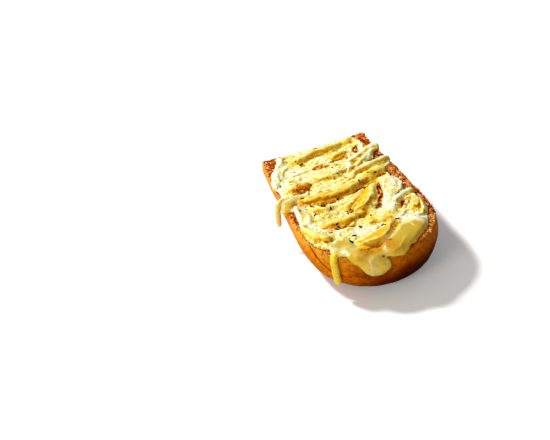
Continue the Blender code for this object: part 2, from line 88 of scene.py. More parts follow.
# Cheese: the mesh's fineness, and rounds of smoothing for all of it, the runs, the shreds and the broad folds
CHEESE_VOXEL = 0.46
CHEESE_SMOOTHING = 2
POOL_SMOOTHING = 24
SHRED_SMOOTHING = 6
FOLD_SMOOTHING = 40

# How far hollows fill and crests rise, as shares of their depth, and how far the feet under the brown and
# shadow strokes sink
HOLLOW_FILL = 0.1
CREST_GAIN = 0.12
FOOT_SINK = 0.35

# Sideways unevenness of the shreds: how wide its waves are and how far they reach
SWAYS = ((8, 1.1), (3, 0.3))
SWAY_SEED = 1

# Relief of the cheese: how wide its lumps are and how deep
POOL_WAVES = (4.5, 0.6)
CHEESE_SWELL = (4, 0.7)
CHEESE_LUMPS = (2.4, 1.0)
CHEESE_GRAIN = (0.9, 0.45)

# Rounds of averaging that level out whole shreds, and how softly strokes of each kind end
SHRED_ROUNDS = 110
GOLD_FEATHER = 1.4
PALE_FEATHER = 2.0
CREAM_FEATHER = 2.5
POOL_FEATHER = 1.5

# Cheese colours, palest first, with the range of depths over which each takes over; depth adds painted shade
# to the cheese's own tone
PALEST_CHEESE = (0.86, 0.88, 0.68, 1)
CHEESE_TONES = (
    (0.0, 0.25, (0.83, 0.76, 0.3, 1)), (0.25, 0.5, (0.8, 0.66, 0.1, 1)), (0.5, 0.75, (0.8, 0.54, 0.02, 1)),
    (0.75, 1.05, (0.77, 0.41, 0.004, 1)), (1.05, 1.4, (0.52, 0.14, 0.001, 1)),
)

# The way towards the light, up and a little towards the window behind: cheese that leans away from it is
# painted deeper in colour, as shade
LIGHTWARD = (-0.14, 0.4, 0.906)

# Broad glossy runs, as circles on the face in which the cheese ran smooth: x, y and radius
POOL_SPOTS = (
    (26.5, -131.4, 4.4), (20.8, -133.6, 6.6), (13, -137.2, 8.8), (5, -143.8, 9.4), (-2.4, -149.2, 8),
    (-20.4, -130.6, 5), (-18.4, -137.6, 6.6), (-14.8, -144.4, 8.2), (-10, -152, 13),
    (-28.6, -138.5, 4.2), (-36, -70.6, 6.8), (-42, -67, 5),
)

# Browned places on the cheese, toasted spots and lines at the feet of shreds that are partly toasting and
# partly painted shadow: how brown (1 orange brown, 2 nearly black), half width, and the way along
BROWNED_AND_SHADOWED = (
    (1.15, 0.8, ((-14, -21), (-8.5, -19.2), (-3, -17), (5, -17), (9, -16.2), (14.5, -14.4))),
    (0.9, 1.3, ((-9.5, -8.3),)), (1.5, 0.5, ((-0.8, -9.9),)), (0.7, 0.7, ((9, -10.6),)),
    (1.1, 2.2, ((-8, -34), (-0.5, -33.8))), (1, 1.7, ((-19.8, -42.4),)), (1.4, 1.7, ((4.2, -30.7),)),
    (1.2, 1.2, ((5, -30.4), (9.4, -28.8), (14, -26.8))),
    (1.5, 1.6, ((5.3, -36.6),)), (0.8, 1.2, ((-4.4, -43.5),)), (0.9, 1.2, ((-1.8, -53.7),)),
    (0.75, 0.9, ((-25, -44.7), (-20, -48.3))), (1.1, 2, ((-24.2, -53.9),)), (1, 1.4, ((10.8, -51.4),)),
    (0.8, 0.9, ((17, -53.9),)), (1, 1, ((24.7, -63), (27.5, -62.5))), (1.3, 2, ((24.3, -17.4),)),
    (1.2, 1.8, ((21.5, -25.4),)), (1.1, 1, ((26.1, -9.5),)), (1.2, 1.2, ((27.9, -41),)),
    (1.2, 1, ((29.4, -53.4),)), (0.9, 1.3, ((22.6, -78.2),)), (0.8, 0.7, ((-26, -63.5), (-24.4, -64.9))),
    (0.8, 0.8, ((-25.6, -81.9),)), (0.9, 0.7, ((-4.2, -85.1), (-4.9, -89.4))), (1.3, 1.3, ((-5.3, -95.6),)),
    (0.9, 0.9, ((-23.2, -104.7),)), (0.9, 0.9, ((-20.9, -113.5),)),
    (1.3, 0.8, ((-24, -108), (-17.3, -111.7), (-14, -113), (-10, -110))),
    (0.9, 0.7, ((-6.4, -104.7), (-3.1, -106.1))), (1, 0.8, ((15.7, -73.7), (13.9, -74.5))),
    (0.9, 0.8, ((6.8, -81.7),)), (1.4, 1.2, ((26.6, -102), (23.4, -105), (22.8, -108.2))),
    (1, 1.1, ((30.8, -105.4),)), (0.4, 1.2, ((29.9, -116.8),)),
    (1, 0.9, ((11.4, -116.4), (10.7, -122.7))), (1.2, 0.7, ((-5, -115.8),)), (0.9, 0.6, ((-2.7, -118.9),)),
    (1.1, 0.8, ((-32.2, -129.5), (-33.7, -127.4), (-30.2, -131.9))),
    (0.4, 0.8, ((-36.5, -108), (-34.5, -116), (-31.5, -123), (-27.5, -127))),
    (1.7, 1.2, ((-9.3, -141), (-2.6, -141.2), (3.2, -142))), (1.2, 1.8, ((-13.6, -143), (-9, -143.4))),
    (0.7, 3.6, ((-10, -144), (0, -145))),
    (1.7, 1.2, ((-28, -56.9), (-25.2, -57.4), (-21.5, -57.4), (-18.6, -56.3))),
    (1.4, 0.9, ((-24, -79.6), (-14, -80), (-4, -79.2))), (0.6, 1, ((-17.5, -75.6), (-15.6, -77.4))),
    (1.4, 0.7, ((1, -79.4), (6, -77.6), (12, -74.6), (15.6, -72.4))),
    (1.8, 1.2, ((19, -73.5), (17.2, -85), (16.6, -88), (14, -92), (11.9, -98), (12, -99.4), (9, -101))),
)

# Shreds of a deeper yellow: how golden, half width, and the way along
GOLDEN = (
    (0.5, 3.6, ((-17.5, -18.5), (-11, -16.5), (-3, -13), (5, -12), (13, -10.5))),
    (0.4, 4, ((17.6, -7.4), (22.4, -6.8))), (1, 2.4, ((6.8, -25.8), (15, -22.4))),
    (1, 3.8, ((-30.5, -54), (-25, -54.6), (-19.4, -53.4))), (0.4, 3, ((-11, -48.6), (3.8, -48.4))),
    (0.15, 2.6, ((9.5, -54.6), (17, -50.6), (24, -48.4), (35.4, -43.8))),
    (0.15, 2.4, ((12.6, -39.5), (20, -31.6), (35, -24.6))),
    (0.7, 3, ((15, -62.6), (19.6, -59.6), (28.6, -59.2))),
    (0.95, 4.6, ((18, -64.6), (10, -66.8), (1, -72.2), (-7, -75.2), (-13, -74.8))),
    (0.95, 4.6, ((-12, -75.4), (-25, -73))), (0.5, 3.2, ((14, -75), (8.8, -89), (-1.4, -101.6))),
    (0.55, 2.4, ((9, -81), (-6.6, -93))), (0.5, 2.4, ((-24.4, -85.8), (-13.4, -88))),
    (1, 3.4, ((-22.6, -106), (-16.6, -108.4), (-9.6, -108), (1.4, -103.6))),
    (0.8, 3, ((-35, -102.8), (-33.6, -109.4), (-30.6, -116), (-25.4, -121.8))),
    (0.62, 4.2, ((11.2, -118.4), (9.6, -124.6), (5.6, -131.4), (-2.4, -136), (-10.5, -136))),
    (1, 2.6, ((-28.4, -139.4),)), (0.45, 3, ((30.9, -104.8), (27.4, -114.6))),
    (0.6, 2.2, ((0.5, -112.2), (12, -115.8))),
)

# Where thin clear cheese lies over brown toast on the front rim
CLEAR_STROKES = ((1, 3.6, ((-12, -144.6), (0, -145.4), (2.4, -147))),)

# Paler, creamier cheese on the glossy runs, as strokes; the first is partly a painted highlight along a run's
# edge
CREAMY = (
    # Partly painted highlight: the bright pale rim along the upper edge of the right-hand run
    (1, 1.8, (
        (2.8, -138), (6.8, -133.4), (10.6, -129.6), (15, -127.2), (18.2, -127.6), (22, -128.6), (26, -131),
    )),
    (0.9, 1.8, ((-26.5, -132.6), (-27.4, -136.4))),
    (0.3, 4, ((-26, -135), (-18, -139))), (0.6, 3, ((-38, -66), (-31, -70))),
    (0.6, 3, ((-41, -64), (-43, -69))), (0.5, 1.8, ((8.6, -131), (13.4, -127.6))),
    (0.35, 3.2, ((-11, -152), (-12.6, -158))), (0.3, 2.4, ((-3, -150.5),)),
)

# The palest folds of the grainy cheese, as strokes; the last one is painted light on the shaded flank of the
# back shred
CREAM_FOLDS = (
    (0.45, 5.5, ((-30, -16), (-31, -28), (-32.5, -42), (-33.5, -58))), (0.3, 5, ((-24, -28), (-20, -36))),
    (0.35, 2.6, ((22, -30), (34, -24))), (0.4, 3.4, ((4, -50), (12, -42), (17, -35), (24, -38), (30, -40))),
    (0.55, 3.4, ((27, -76), (30, -86), (26, -98))), (0.35, 5, ((24, -80), (20, -92), (16, -104))),
    (0.3, 5, ((-35, -82), (-34, -96), (-28, -106))), (0.35, 3.2, ((-30, -80), (-29, -92))),
    (0.3, 4, ((-8, -122), (2, -124))),
    (0.4, 3, ((27, -108), (24, -118))), (0.3, 3, ((-2, -4.5), (20, -4.5))),
    (0.8, 4, ((17, -121), (23, -124), (27, -127))), (0.4, 2.6, ((9, -69.4), (15, -67))),
    # Painted light: lightens the shaded front flank of the long shred at the back
    (0.3, 2.4, ((-16, -20), (-8, -17.4), (0, -15), (8, -14.2), (14, -12.6))),
)

# Thin shreds over the melted base: radius and the way along
STRANDS = (
    (0.55, ((-26.2, -21.6), (-30.9, -29.7), (-32.8, -39.4), (-28.6, -45.2), (-24.2, -45.7))),
    (0.5, ((-25.3, -25.5), (-29.1, -32.5), (-28.8, -38.9), (-22.6, -39.8), (-16.7, -39.1))),
    (0.6, ((-23.2, -34.8), (-16.6, -34.4), (-10.7, -31.9))),
    (0.9, ((1.5, -45.4), (8.7, -40.8), (14.7, -38.3), (20.4, -38.9))),
    (0.7, ((2.3, -49.1), (9.1, -45.8), (16.1, -44.1))),
    (0.6, ((15.1, -27), (15.6, -35.7), (20.8, -35.9))),
    (0.55, ((16.6, -18), (16.2, -27.8), (12, -36.5))),
    (0.6, ((17.9, -44.8), (22.7, -38.3), (28.1, -32.1))),
    (0.55, ((13.9, -47), (18.8, -42.2), (25, -33.3), (29.5, -29.7))),
    (0.65, ((3, -55.3), (9.2, -51.7), (15.5, -48), (23.2, -48.4))),
    (0.6, ((-0.5, -62.1), (3.9, -60.4), (9.5, -56.5), (14, -56.4), (17.7, -58.8))),
    (0.7, ((21.1, -69), (22.5, -75.9), (19.4, -82.7), (17.5, -90))),
    (0.8, ((22.3, -75), (28.6, -73.2), (30.8, -79.1), (29.2, -86.8), (25, -89.9))),
    (0.8, ((27.8, -101.8), (31.2, -102.6), (32.8, -107.7), (31.7, -115.1), (28.8, -122.6))),
    (0.8, ((9, -82.8), (4.1, -88.2), (-1.6, -92.9), (-6, -96.9))),
    (0.7, ((9.4, -88.8), (4.4, -96.6), (-1.5, -99.7), (-6.9, -101.7))),
    (1.8, ((-11, -136.2), (-6.5, -137.4), (-1, -136.2), (4, -132.4), (8, -127))),
    (2.3, ((30.8, -105), (29.4, -109.5), (28, -114.5))),
    (2, ((-32.1, -76.9), (-33.3, -85.7), (-34, -94.6), (-34.6, -103.3))),
    (0.9, ((-25.9, -93.2), (-22.2, -94.9), (-17.8, -94.2), (-13.8, -92.7))),
    (0.8, ((-25.3, -82.8), (-25.4, -89.5), (-24, -97), (-20.2, -102))),
    (1.4, ((-29.4, -120.6), (-27, -122.8), (-24.6, -122.4))),
    (0.7, ((-12, -33.8), (-5.5, -31.7), (1, -29.6))),
    (0.6, ((-23.1, -52.8), (-16.6, -52.4), (-9.8, -50.8), (-3.7, -51.7))),
)

# Folds that melted broad and smooth, as strokes
BROAD_FOLDS = (
    (1, 4.2, ((-31.6, -78), (-32.6, -88), (-33.2, -102))),
    (0.7, 4, ((-34, -14), (-36, -32), (-35, -50), (-34, -60))),
    (0.3, 2, ((-35, -103), (-33, -110), (-30, -117), (-26, -122))),
)

# Where the cheese falls away beside the boldest shreds: how deep, from and to how far off, and the way along
SHOULDERS = (
    (1, 3.6, 8, ((-9.5, -135.2), (-2, -134.6), (4.6, -130.4))),
    (0.8, 1.4, 6, ((-35, -104), (-33, -111), (-30, -117.5), (-26.5, -121))),
    (0.8, 1.8, 7, ((-29, -53), (-20, -53))),
    (0.7, 2, 7, ((-17, -17.4), (-3, -11.8), (5, -10.8), (13, -9.3))),
    (0.7, 2.2, 7.5, ((18, -64), (10, -66.4), (1, -71.4), (-7, -74.4), (-26, -72.4))),
    (0.7, 1.4, 5.5, ((9.5, -54.6), (17, -50.6), (35, -44))),
    (0.7, 1.4, 5.5, ((-20, -106.5), (-9.6, -107), (-1, -103.6))),
)

# Ripples in the glossy runs, as lines of places on the face, and how high they stand
RIPPLES = (
    ((11.1, -143), (6.3, -148.4)), ((9.9, -131.7), (11.4, -130.3), (13.1, -130)),
    ((18.8, -130.8), (19.4, -131.6)), ((19, -133.2), (19.4, -134.2)), ((-11.9, -152), (-11.3, -155.2)),
    ((-10.2, -156.9), (-8.2, -155.8)), ((-22.4, -136.8), (-16.8, -135.4)),
)
RIPPLE_HEIGHT = 0.45

# Drips, as circles on the face, and how much plumper they are made once they are smooth
DRIP_SPOTS = ((-28.4, -139.4, 3), (-41, -66.4, 3.6))
DRIP_GAIN = 0.5

# A fold in the crust on the left of the round end, as places in space
CRUST_FOLD = (
    (-36.4, -117.5, -0.6), (-36, -120.1, -2.4), (-35.4, -122.6, -4.2), (-34.3, -127.4, -6.6),
    (-33, -129.9, -8.2), (-31.6, -132.4, -10), (-29.4, -135.4, -12),
)

# Where the rim is only lightly toasted, as strokes
PALE_RIM = (
    (0.9, 5, ((-37, -98), (-35, -118), (-27, -134), (-19, -144))),
    (0.4, 3, ((33, -46), (33, -62))), (0.8, 1.8, ((32.6, -64), (33, -88))),
    (0.9, 2.2, (
        (31, -92), (33.4, -100), (33.2, -112), (31.6, -124), (27, -131.6), (21, -138.4), (15, -143.6),
    )),
)

# Larger herb flecks, as in the solid: middle x and y, length and turn in degrees
FLECKS = (
    (-14.4, -24.6, 2.7, 70), (-20.4, -30.4, 1.8, 80), (5.2, -28, 2, 60), (1.6, -37.6, 2, 40),
    (-33.6, -45, 1.8, 75), (-26.6, -71.8, 2.6, -25), (-18, -86.8, 2.6, 10), (-14.6, -89.2, 2.2, 60),
    (-25, -92.2, 2.2, -50), (-7.6, -79.4, 2.2, 80), (9.4, -68.6, 2, 60), (17.8, -60.2, 2, 80),
    (23.6, -95, 3, -55), (-15.6, -130.6, 3.2, 82), (-12.2, -125, 2.4, 5), (5.4, -121.4, 2.2, -20),
    (14.2, -120.8, 2.4, -15), (5.4, -126.8, 2, 70), (-6, -117, 2.2, 60), (-22.2, -114.8, 1.9, 70),
    (-17, -109.6, 2.2, 55), (3.2, -107.8, 1.8, 30), (-31.6, -84.4, 1.8, 60), (22, -60.8, 1.9, 20),
)

# How many small scraps and crumbs there are, how brown a foot is that gathers herbs, and the height from
# which things are dropped on the face
SMALL_HERBS = 85
FOOT_HERBS = 45
CRUMBS = 1500
FOOT_BROWNNESS = 1.25
DROP_HEIGHT = 20

# Fields for random places: least and greatest x, then least and greatest y, or z on the cut end
HERB_FIELD = (-36, 33, -140, -4)
CRUMB_FIELD = (-40, 40, -151, 0)
END_FIELD = (-36, 36, -25, -1)

# Studio: the floor's and the lights' sizes and places in metres, power in watts and colour
FLOOR_SIZE = 2.8
ROOM_LIGHT = 0.26
LIGHTS = (
    ("window", (-0.52, 0.7, 0.95), 0.2, 20, (1, 0.985, 0.95)),
    ("front_fill", (-1.15, -0.85, 0.5), 0.7, 10, (1, 0.93, 0.8)),
)


def at(x, y, z=0.0):
    """A place on the toasted face in the part's own frame, in metres."""
    return (Vector((x, y, z)) + FACE) * MM


def only(piece):
    """Selects one object and makes it active."""
    bpy.ops.object.select_all(action="DESELECT")
    piece.select_set(True)
    bpy.context.view_layer.objects.active = piece


def apply_modifier(piece, kind, **settings):
    """Gives a piece a modifier with these settings and applies it."""
    only(piece)
    modifier = piece.modifiers.new(kind.lower(), kind)
    for name, value in settings.items():
        setattr(modifier, name, value)
    bpy.ops.object.modifier_apply(modifier=modifier.name)


def placed(name, data):
    """A new object in the scene."""
    piece = bpy.data.objects.new(name, data)
    bpy.context.scene.collection.objects.link(piece)
    return piece


def copy_of_node(node, name):
    """A merged copy of a CAD node's mesh as a new piece."""
    piece = placed(name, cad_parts[node].data.copy())
    piece.data.materials.clear()
    only(piece)
    bpy.ops.object.mode_set(mode="EDIT")
    bpy.ops.mesh.select_all(action="SELECT")
    bpy.ops.mesh.remove_doubles(threshold=1e-7)
    bpy.ops.object.mode_set(mode="OBJECT")
    return piece


def points_of(piece):
    """The piece's points as an array in millimetres from the face's origin."""
    places = np.empty(len(piece.data.vertices) * 3)
    piece.data.vertices.foreach_get("co", places)
    return places.reshape(-1, 3) / MM - np.array(FACE)


def normals_of(piece):
    """The way out at each of the piece's points."""
    normals = np.empty(len(piece.data.vertices) * 3)
    piece.data.vertices.foreach_get("normal", normals)
    return normals.reshape(-1, 3)


def keep_in_box(piece):
    """Draws points that lie past the CAD's box back onto it."""
    low, high = (np.array(corner) for corner in CAD_BOX)
    places = (points_of(piece) + np.array(FACE)) * MM
    piece.data.vertices.foreach_set("co", np.clip(places, low, high).ravel())
    piece.data.update()


def move_points(piece, offsets):
    """Moves each point by its own offset in millimetres."""
    places = points_of(piece) + offsets + np.array(FACE)
    piece.data.vertices.foreach_set("co", (places * MM).ravel())
    piece.data.update()


def swell(piece, heights):
    """Raises points along their normals, in millimetres."""
    move_points(piece, heights[:, None] * normals_of(piece))


def smoothstep(low, high, values):
    """0 at low, 1 at high and smooth between, also where low is the greater."""
    share = np.clip((values - low) / (high - low), 0, 1)
    return share * share * (3 - 2 * share)


def weigh(piece, name, weights, levels=16):
    """A vertex group with these weights, in a few steps."""
    group = piece.vertex_groups.new(name=name)
    steps = np.rint(np.clip(weights, 0, 1) * levels).astype(int)
    for step in range(1, levels + 1):
        members = np.nonzero(steps == step)[0].tolist()
        if members:
            group.add(members, step / levels, "REPLACE")
    return group.name


def store(piece, name, values):
    """A value for each point that the materials read."""
    attribute = piece.data.attributes.new(name, "FLOAT", "POINT")
    attribute.data.foreach_set("value", np.ascontiguousarray(values, dtype=np.float32))


def neighbour_mean(piece, values, rounds):
    """Values averaged over the points next to each point, again and again."""
    edges = np.empty(len(piece.data.edges) * 2, dtype=int)
    piece.data.edges.foreach_get("vertices", edges)
    first, second = edges.reshape(-1, 2).T
    count = len(piece.data.vertices)
    near = np.bincount(first, minlength=count) + np.bincount(second, minlength=count)
    near = np.maximum(near, 1)
    values = values.copy()
    for _ in range(rounds):
        total = np.bincount(first, values[second], count) + np.bincount(second, values[first], count)
        values = 0.5 * values + 0.5 * total / near
    return values


def hollowness(piece, rounds):
    """How far each point lies below the mean surface round it, in millimetres."""
    places = points_of(piece)
    means = np.stack([neighbour_mean(piece, places[:, axis], rounds) for axis in range(3)], 1)
    return ((means - places) * normals_of(piece)).sum(1)


def path_gap(places, path):
    """How far each point is from a path of one or more places."""
    gap = np.full(len(places), np.inf)
    for start, end in zip(path, path[1:] or path):
        along = np.subtract(end, start)
        offset = places - start
        part = np.clip(offset @ along / max(along @ along, 1e-9), 0, 1)
        gap = np.minimum(gap, np.linalg.norm(offset - part[:, None] * along, axis=1))
    return gap


def stroke_share(places, strokes, feather=1.1):
    """The greatest strength of these strokes at each point, fading out at their edges."""
    share = np.zeros(len(places))
    for strength, half_width, path in strokes:
        gap = path_gap(places[:, :2], path)
        share = np.maximum(share, strength * smoothstep(half_width + feather, half_width - feather, gap))
    return share


def spot_share(places, spots, feather=1.1):
    """1 on these circles on the face, fading out at their edges."""
    return stroke_share(places, [(1.0, radius, ((x, y),)) for x, y, radius in spots], feather)


def smooth(piece, rounds, group=""):
    apply_modifier(piece, "SMOOTH", factor=0.5, iterations=rounds, vertex_group=group)


def melt_together(piece, voxel, rounds):
    """Gives a piece one fine even skin and smooths it."""
    apply_modifier(piece, "REMESH", mode="VOXEL", voxel_size=voxel * MM, adaptivity=0.0)
    smooth(piece, rounds)


def roughen(piece, name, relief, group, middle=0.5, **settings):
    """Moves points along their normals by a cloudy texture with this relief's width and depth."""
    width, depth = relief
    clouds = bpy.data.textures.new(name, "CLOUDS")
    clouds.noise_scale = width * MM
    for key, value in settings.items():
        setattr(clouds, key, value)
    apply_modifier(
        piece, "DISPLACE", texture=clouds, strength=depth * MM, mid_level=middle,
        texture_coords="LOCAL", direction="NORMAL", vertex_group=group,
    )


# Node helpers


def srgb(red, green, blue):
    """A colour as a screen shows it, turned to the shader's own scale."""
    shares = [value / 255 for value in (red, green, blue)]
    return tuple(s / 12.92 if s <= 0.04045 else ((s + 0.055) / 1.055) ** 2.4 for s in shares) + (1.0,)


def put(tree, kind, sockets=None, **settings):
    """A shader node with its settings, whose inputs are values or other nodes' outputs."""
    made = tree.nodes.new("ShaderNode" + kind)
    for name, value in settings.items():
        setattr(made, name, value)
    for name, value in (sockets or {}).items():
        socket = made.inputs[name]
        if isinstance(value, bpy.types.NodeSocket):
            tree.links.new(value, socket)
        else:
            socket.default_value = value
    return made


def blend(tree, share, first, second, mode="MIX"):
    """Two colours mixed by a share."""
    sockets = {0: share, 6: first, 7: second}
    return put(tree, "Mix", sockets, data_type="RGBA", blend_type=mode).outputs[2]


def blend_values(tree, share, first, second):
    """Two values mixed by a share."""
    return put(tree, "Mix", {0: share, 2: first, 3: second}, data_type="FLOAT").outputs[0]


def between(tree, value, low, high, most=1.0):
    """0 at low, most at high and smooth between, also where low is the greater."""
    sockets = {"Value": value, "From Min": low, "From Max": high, "To Max": most}
    return put(tree, "MapRange", sockets, interpolation_type="SMOOTHSTEP").outputs["Result"]


def layered(tree, colour, value, low, high, over, most=1.0):
    """A colour that gives way to another, at most so far, as a value goes from low to high."""
    return blend(tree, between(tree, value, low, high, most), colour, over)


def toned(tree, colour, value, tones):
    """A colour that gives way to each tone in turn as a value passes through the tone's range."""
    for tone in tones:
        colour = layered(tree, colour, value, *tone)
    return colour


def work(tree, operation, first, second, clamp=False):
    """Arithmetic on two values."""
    return put(tree, "Math", {0: first, 1: second}, operation=operation, use_clamp=clamp).outputs[0]


def times(tree, first, second):
    return work(tree, "MULTIPLY", first, second)


def rest_of(tree, share, whole=1.0):
    """What a share leaves of the whole."""
    return work(tree, "SUBTRACT", whole, share, True)


def add_up(tree, *parts):
    """The sum of values, each with its weight."""
    total = 0.0
    for weight, value in parts:
        made = put(tree, "Math", {0: value, 1: weight, 2: total}, operation="MULTIPLY_ADD")
        total = made.outputs[0]
    return total


def swayed(tree, value, wave, amount):
    """A value pushed up and down by noise, so that its edges come out ragged."""
    return work(tree, "ADD", value, times(tree, work(tree, "SUBTRACT", wave, 0.5), amount))


def own_value(tree, name):
    """A value that the piece's points carry."""
    return put(tree, "Attribute", attribute_name=name).outputs["Fac"]


def noise_of(tree, scale, detail=2.0, stretch=(1, 1, 1)):
    """Noise with features of this scale in millimetres, narrower along an axis of greater stretch."""
    coordinates = put(tree, "TexCoord").outputs["Object"]
    coordinates = put(tree, "Mapping", {"Vector": coordinates, "Scale": stretch}).outputs["Vector"]
    sockets = {"Vector": coordinates, "Scale": 1 / (scale * MM), "Detail": detail, "Roughness": 0.55}
    return put(tree, "TexNoise", sockets).outputs["Fac"]


def new_group(name, inputs, outputs):
    """An empty node group with float sockets."""
    tree = bpy.data.node_groups.new(name, "ShaderNodeTree")
    for label, default in inputs:
        socket = tree.interface.new_socket(label, in_out="INPUT", socket_type="NodeSocketFloat")
        socket.default_value = default
    for label in outputs:
        tree.interface.new_socket(label, in_out="OUTPUT", socket_type="NodeSocketFloat")
    return tree, tree.nodes.new("NodeGroupInput").outputs, tree.nodes.new("NodeGroupOutput").inputs


# How far a speck reaches from its middle, as a share of its cell
SPECK_REACH = 0.42


def make_speckle_group():
    """Separate specks: a mask that is 1 on each, and a tone of its own for each."""
    inputs = [("Size", 1.0), ("Share", 0.2), ("Softness", 0.1)]
    tree, given, out = new_group("oven_specks", inputs, ["Mask", "Tone"])
    coordinates = put(tree, "TexCoord").outputs["Object"]
    scale = work(tree, "DIVIDE", 1 / MM, given["Size"])
    cells = put(tree, "TexVoronoi", {"Vector": coordinates, "Scale": scale, "Randomness": 1.0})
    parts = put(tree, "SeparateColor", {"Color": cells.outputs["Color"]})
    picked = work(tree, "LESS_THAN", parts.outputs["Red"], given["Share"])
    edge = work(tree, "SUBTRACT", SPECK_REACH, given["Softness"])
    near = between(tree, cells.outputs["Distance"], SPECK_REACH, edge)
    tree.links.new(times(tree, picked, near), out["Mask"])
    tree.links.new(parts.outputs["Green"], out["Tone"])
    return tree


def make_grain_group():
    """Fine uneven grain as a height, from a coarse and a fine noise."""
    tree, given, out = new_group("food_grain", [("Size", 1.0), ("Fine", 0.5)], ["Height"])
    coordinates = put(tree, "TexCoord").outputs["Object"]
    coarse = work(tree, "DIVIDE", 1 / MM, given["Size"])
    heights = [
        put(tree, "TexNoise", {"Vector": coordinates, "Scale": scale, "Detail": 2.0}).outputs["Fac"]
        for scale in (coarse, times(tree, coarse, 3.1))
    ]
    tree.links.new(blend_values(tree, given["Fine"], *heights), out["Height"])
    return tree


SPECKS = make_speckle_group()
GRAIN = make_grain_group()


def specks(tree, size, share, softness):
    """The mask and the tone of specks of this size in millimetres."""
    sockets = {"Size": size, "Share": share, "Softness": softness}
    made = put(tree, "Group", sockets, node_tree=SPECKS)
    return made.outputs["Mask"], made.outputs["Tone"]


def grain(tree, size, fine):
    """The height of a grain of this size in millimetres."""
    return put(tree, "Group", {"Size": size, "Fine": fine}, node_tree=GRAIN).outputs["Height"]


def new_material(name, specular, roughness=0.5):
    """A material with its nodes and its shader."""
    made = bpy.data.materials.new(name)
    made.use_nodes = True
    shader = made.node_tree.nodes["Principled BSDF"]
    shader.inputs["Specular IOR Level"].default_value = specular
    shader.inputs["Roughness"].default_value = roughness
    return made, made.node_tree, shader


def bump(tree, shader, height, strength, distance):
    """Relief too fine for the mesh, at most distance millimetres high."""
    made = put(tree, "Bump", {"Height": height, "Strength": strength, "Distance": distance * MM})
    tree.links.new(made.outputs["Normal"], shader.inputs["Normal"])


def soften(shader, weight, radius, scale):
    """Light that goes a little way into the food."""
    shader.inputs["Subsurface Weight"].default_value = weight
    shader.inputs["Subsurface Radius"].default_value = radius
    shader.inputs["Subsurface Scale"].default_value = scale * MM


# Bread

# Crust: the golden wall from the rim down, the side turned from the light from the rim down (partly baking,
# partly painted shade), the foot (partly baking, partly painted shadow), what mottles them, and painted shade
# in creases
RIM_GOLD = srgb(240, 164, 44)
WALL_GOLD = srgb(238, 134, 0)
LOW_GOLD = srgb(222, 100, 0)
BAKED_SHADE_RIM = srgb(224, 130, 8)
BAKED_SHADE_WALL = srgb(168, 71, 0)
DEEP_BAKED_SHADE_RIM = srgb(216, 118, 6)
DEEP_BAKED_SHADE_WALL = srgb(156, 58, 0)
FOOT_BROWN_AND_SHADE = srgb(74, 18, 0)
SOLE_BROWN_AND_SHADE = srgb(80, 22, 0)
PATCH_BROWN = srgb(88, 26, 0)
PATCH_GOLD = srgb(250, 160, 16)
GRAIN_BROWN = srgb(92, 28, 0)
RIM_TAN = srgb(206, 144, 74)
CREASE_PAINTED_SHADE = (0.4, 0.25, 0.15, 1)

# Toasted face, with painted shade in its hollows
TOAST_ORANGE = srgb(222, 126, 16)
TOAST_BROWN = srgb(160, 52, 0)
TOAST_TAN = srgb(226, 178, 88)
PAINTED_SHADE_BROWN = srgb(110, 18, 0)
PAINTED_SHADE_TAN = srgb(180, 84, 14)
GRANULE_PALE = srgb(252, 222, 150)
GRANULE_ORANGE = srgb(240, 150, 34)

# Cut end, with painted shade in its pores
CRUMB_CREAM = srgb(246, 224, 176)
CRUMB_BUFF = srgb(232, 194, 130)
PORE_PAINTED_SHADE = srgb(214, 166, 100)
SKIN_ORANGE = srgb(208, 126, 40)
SKIN_BROWN = srgb(170, 84, 20)


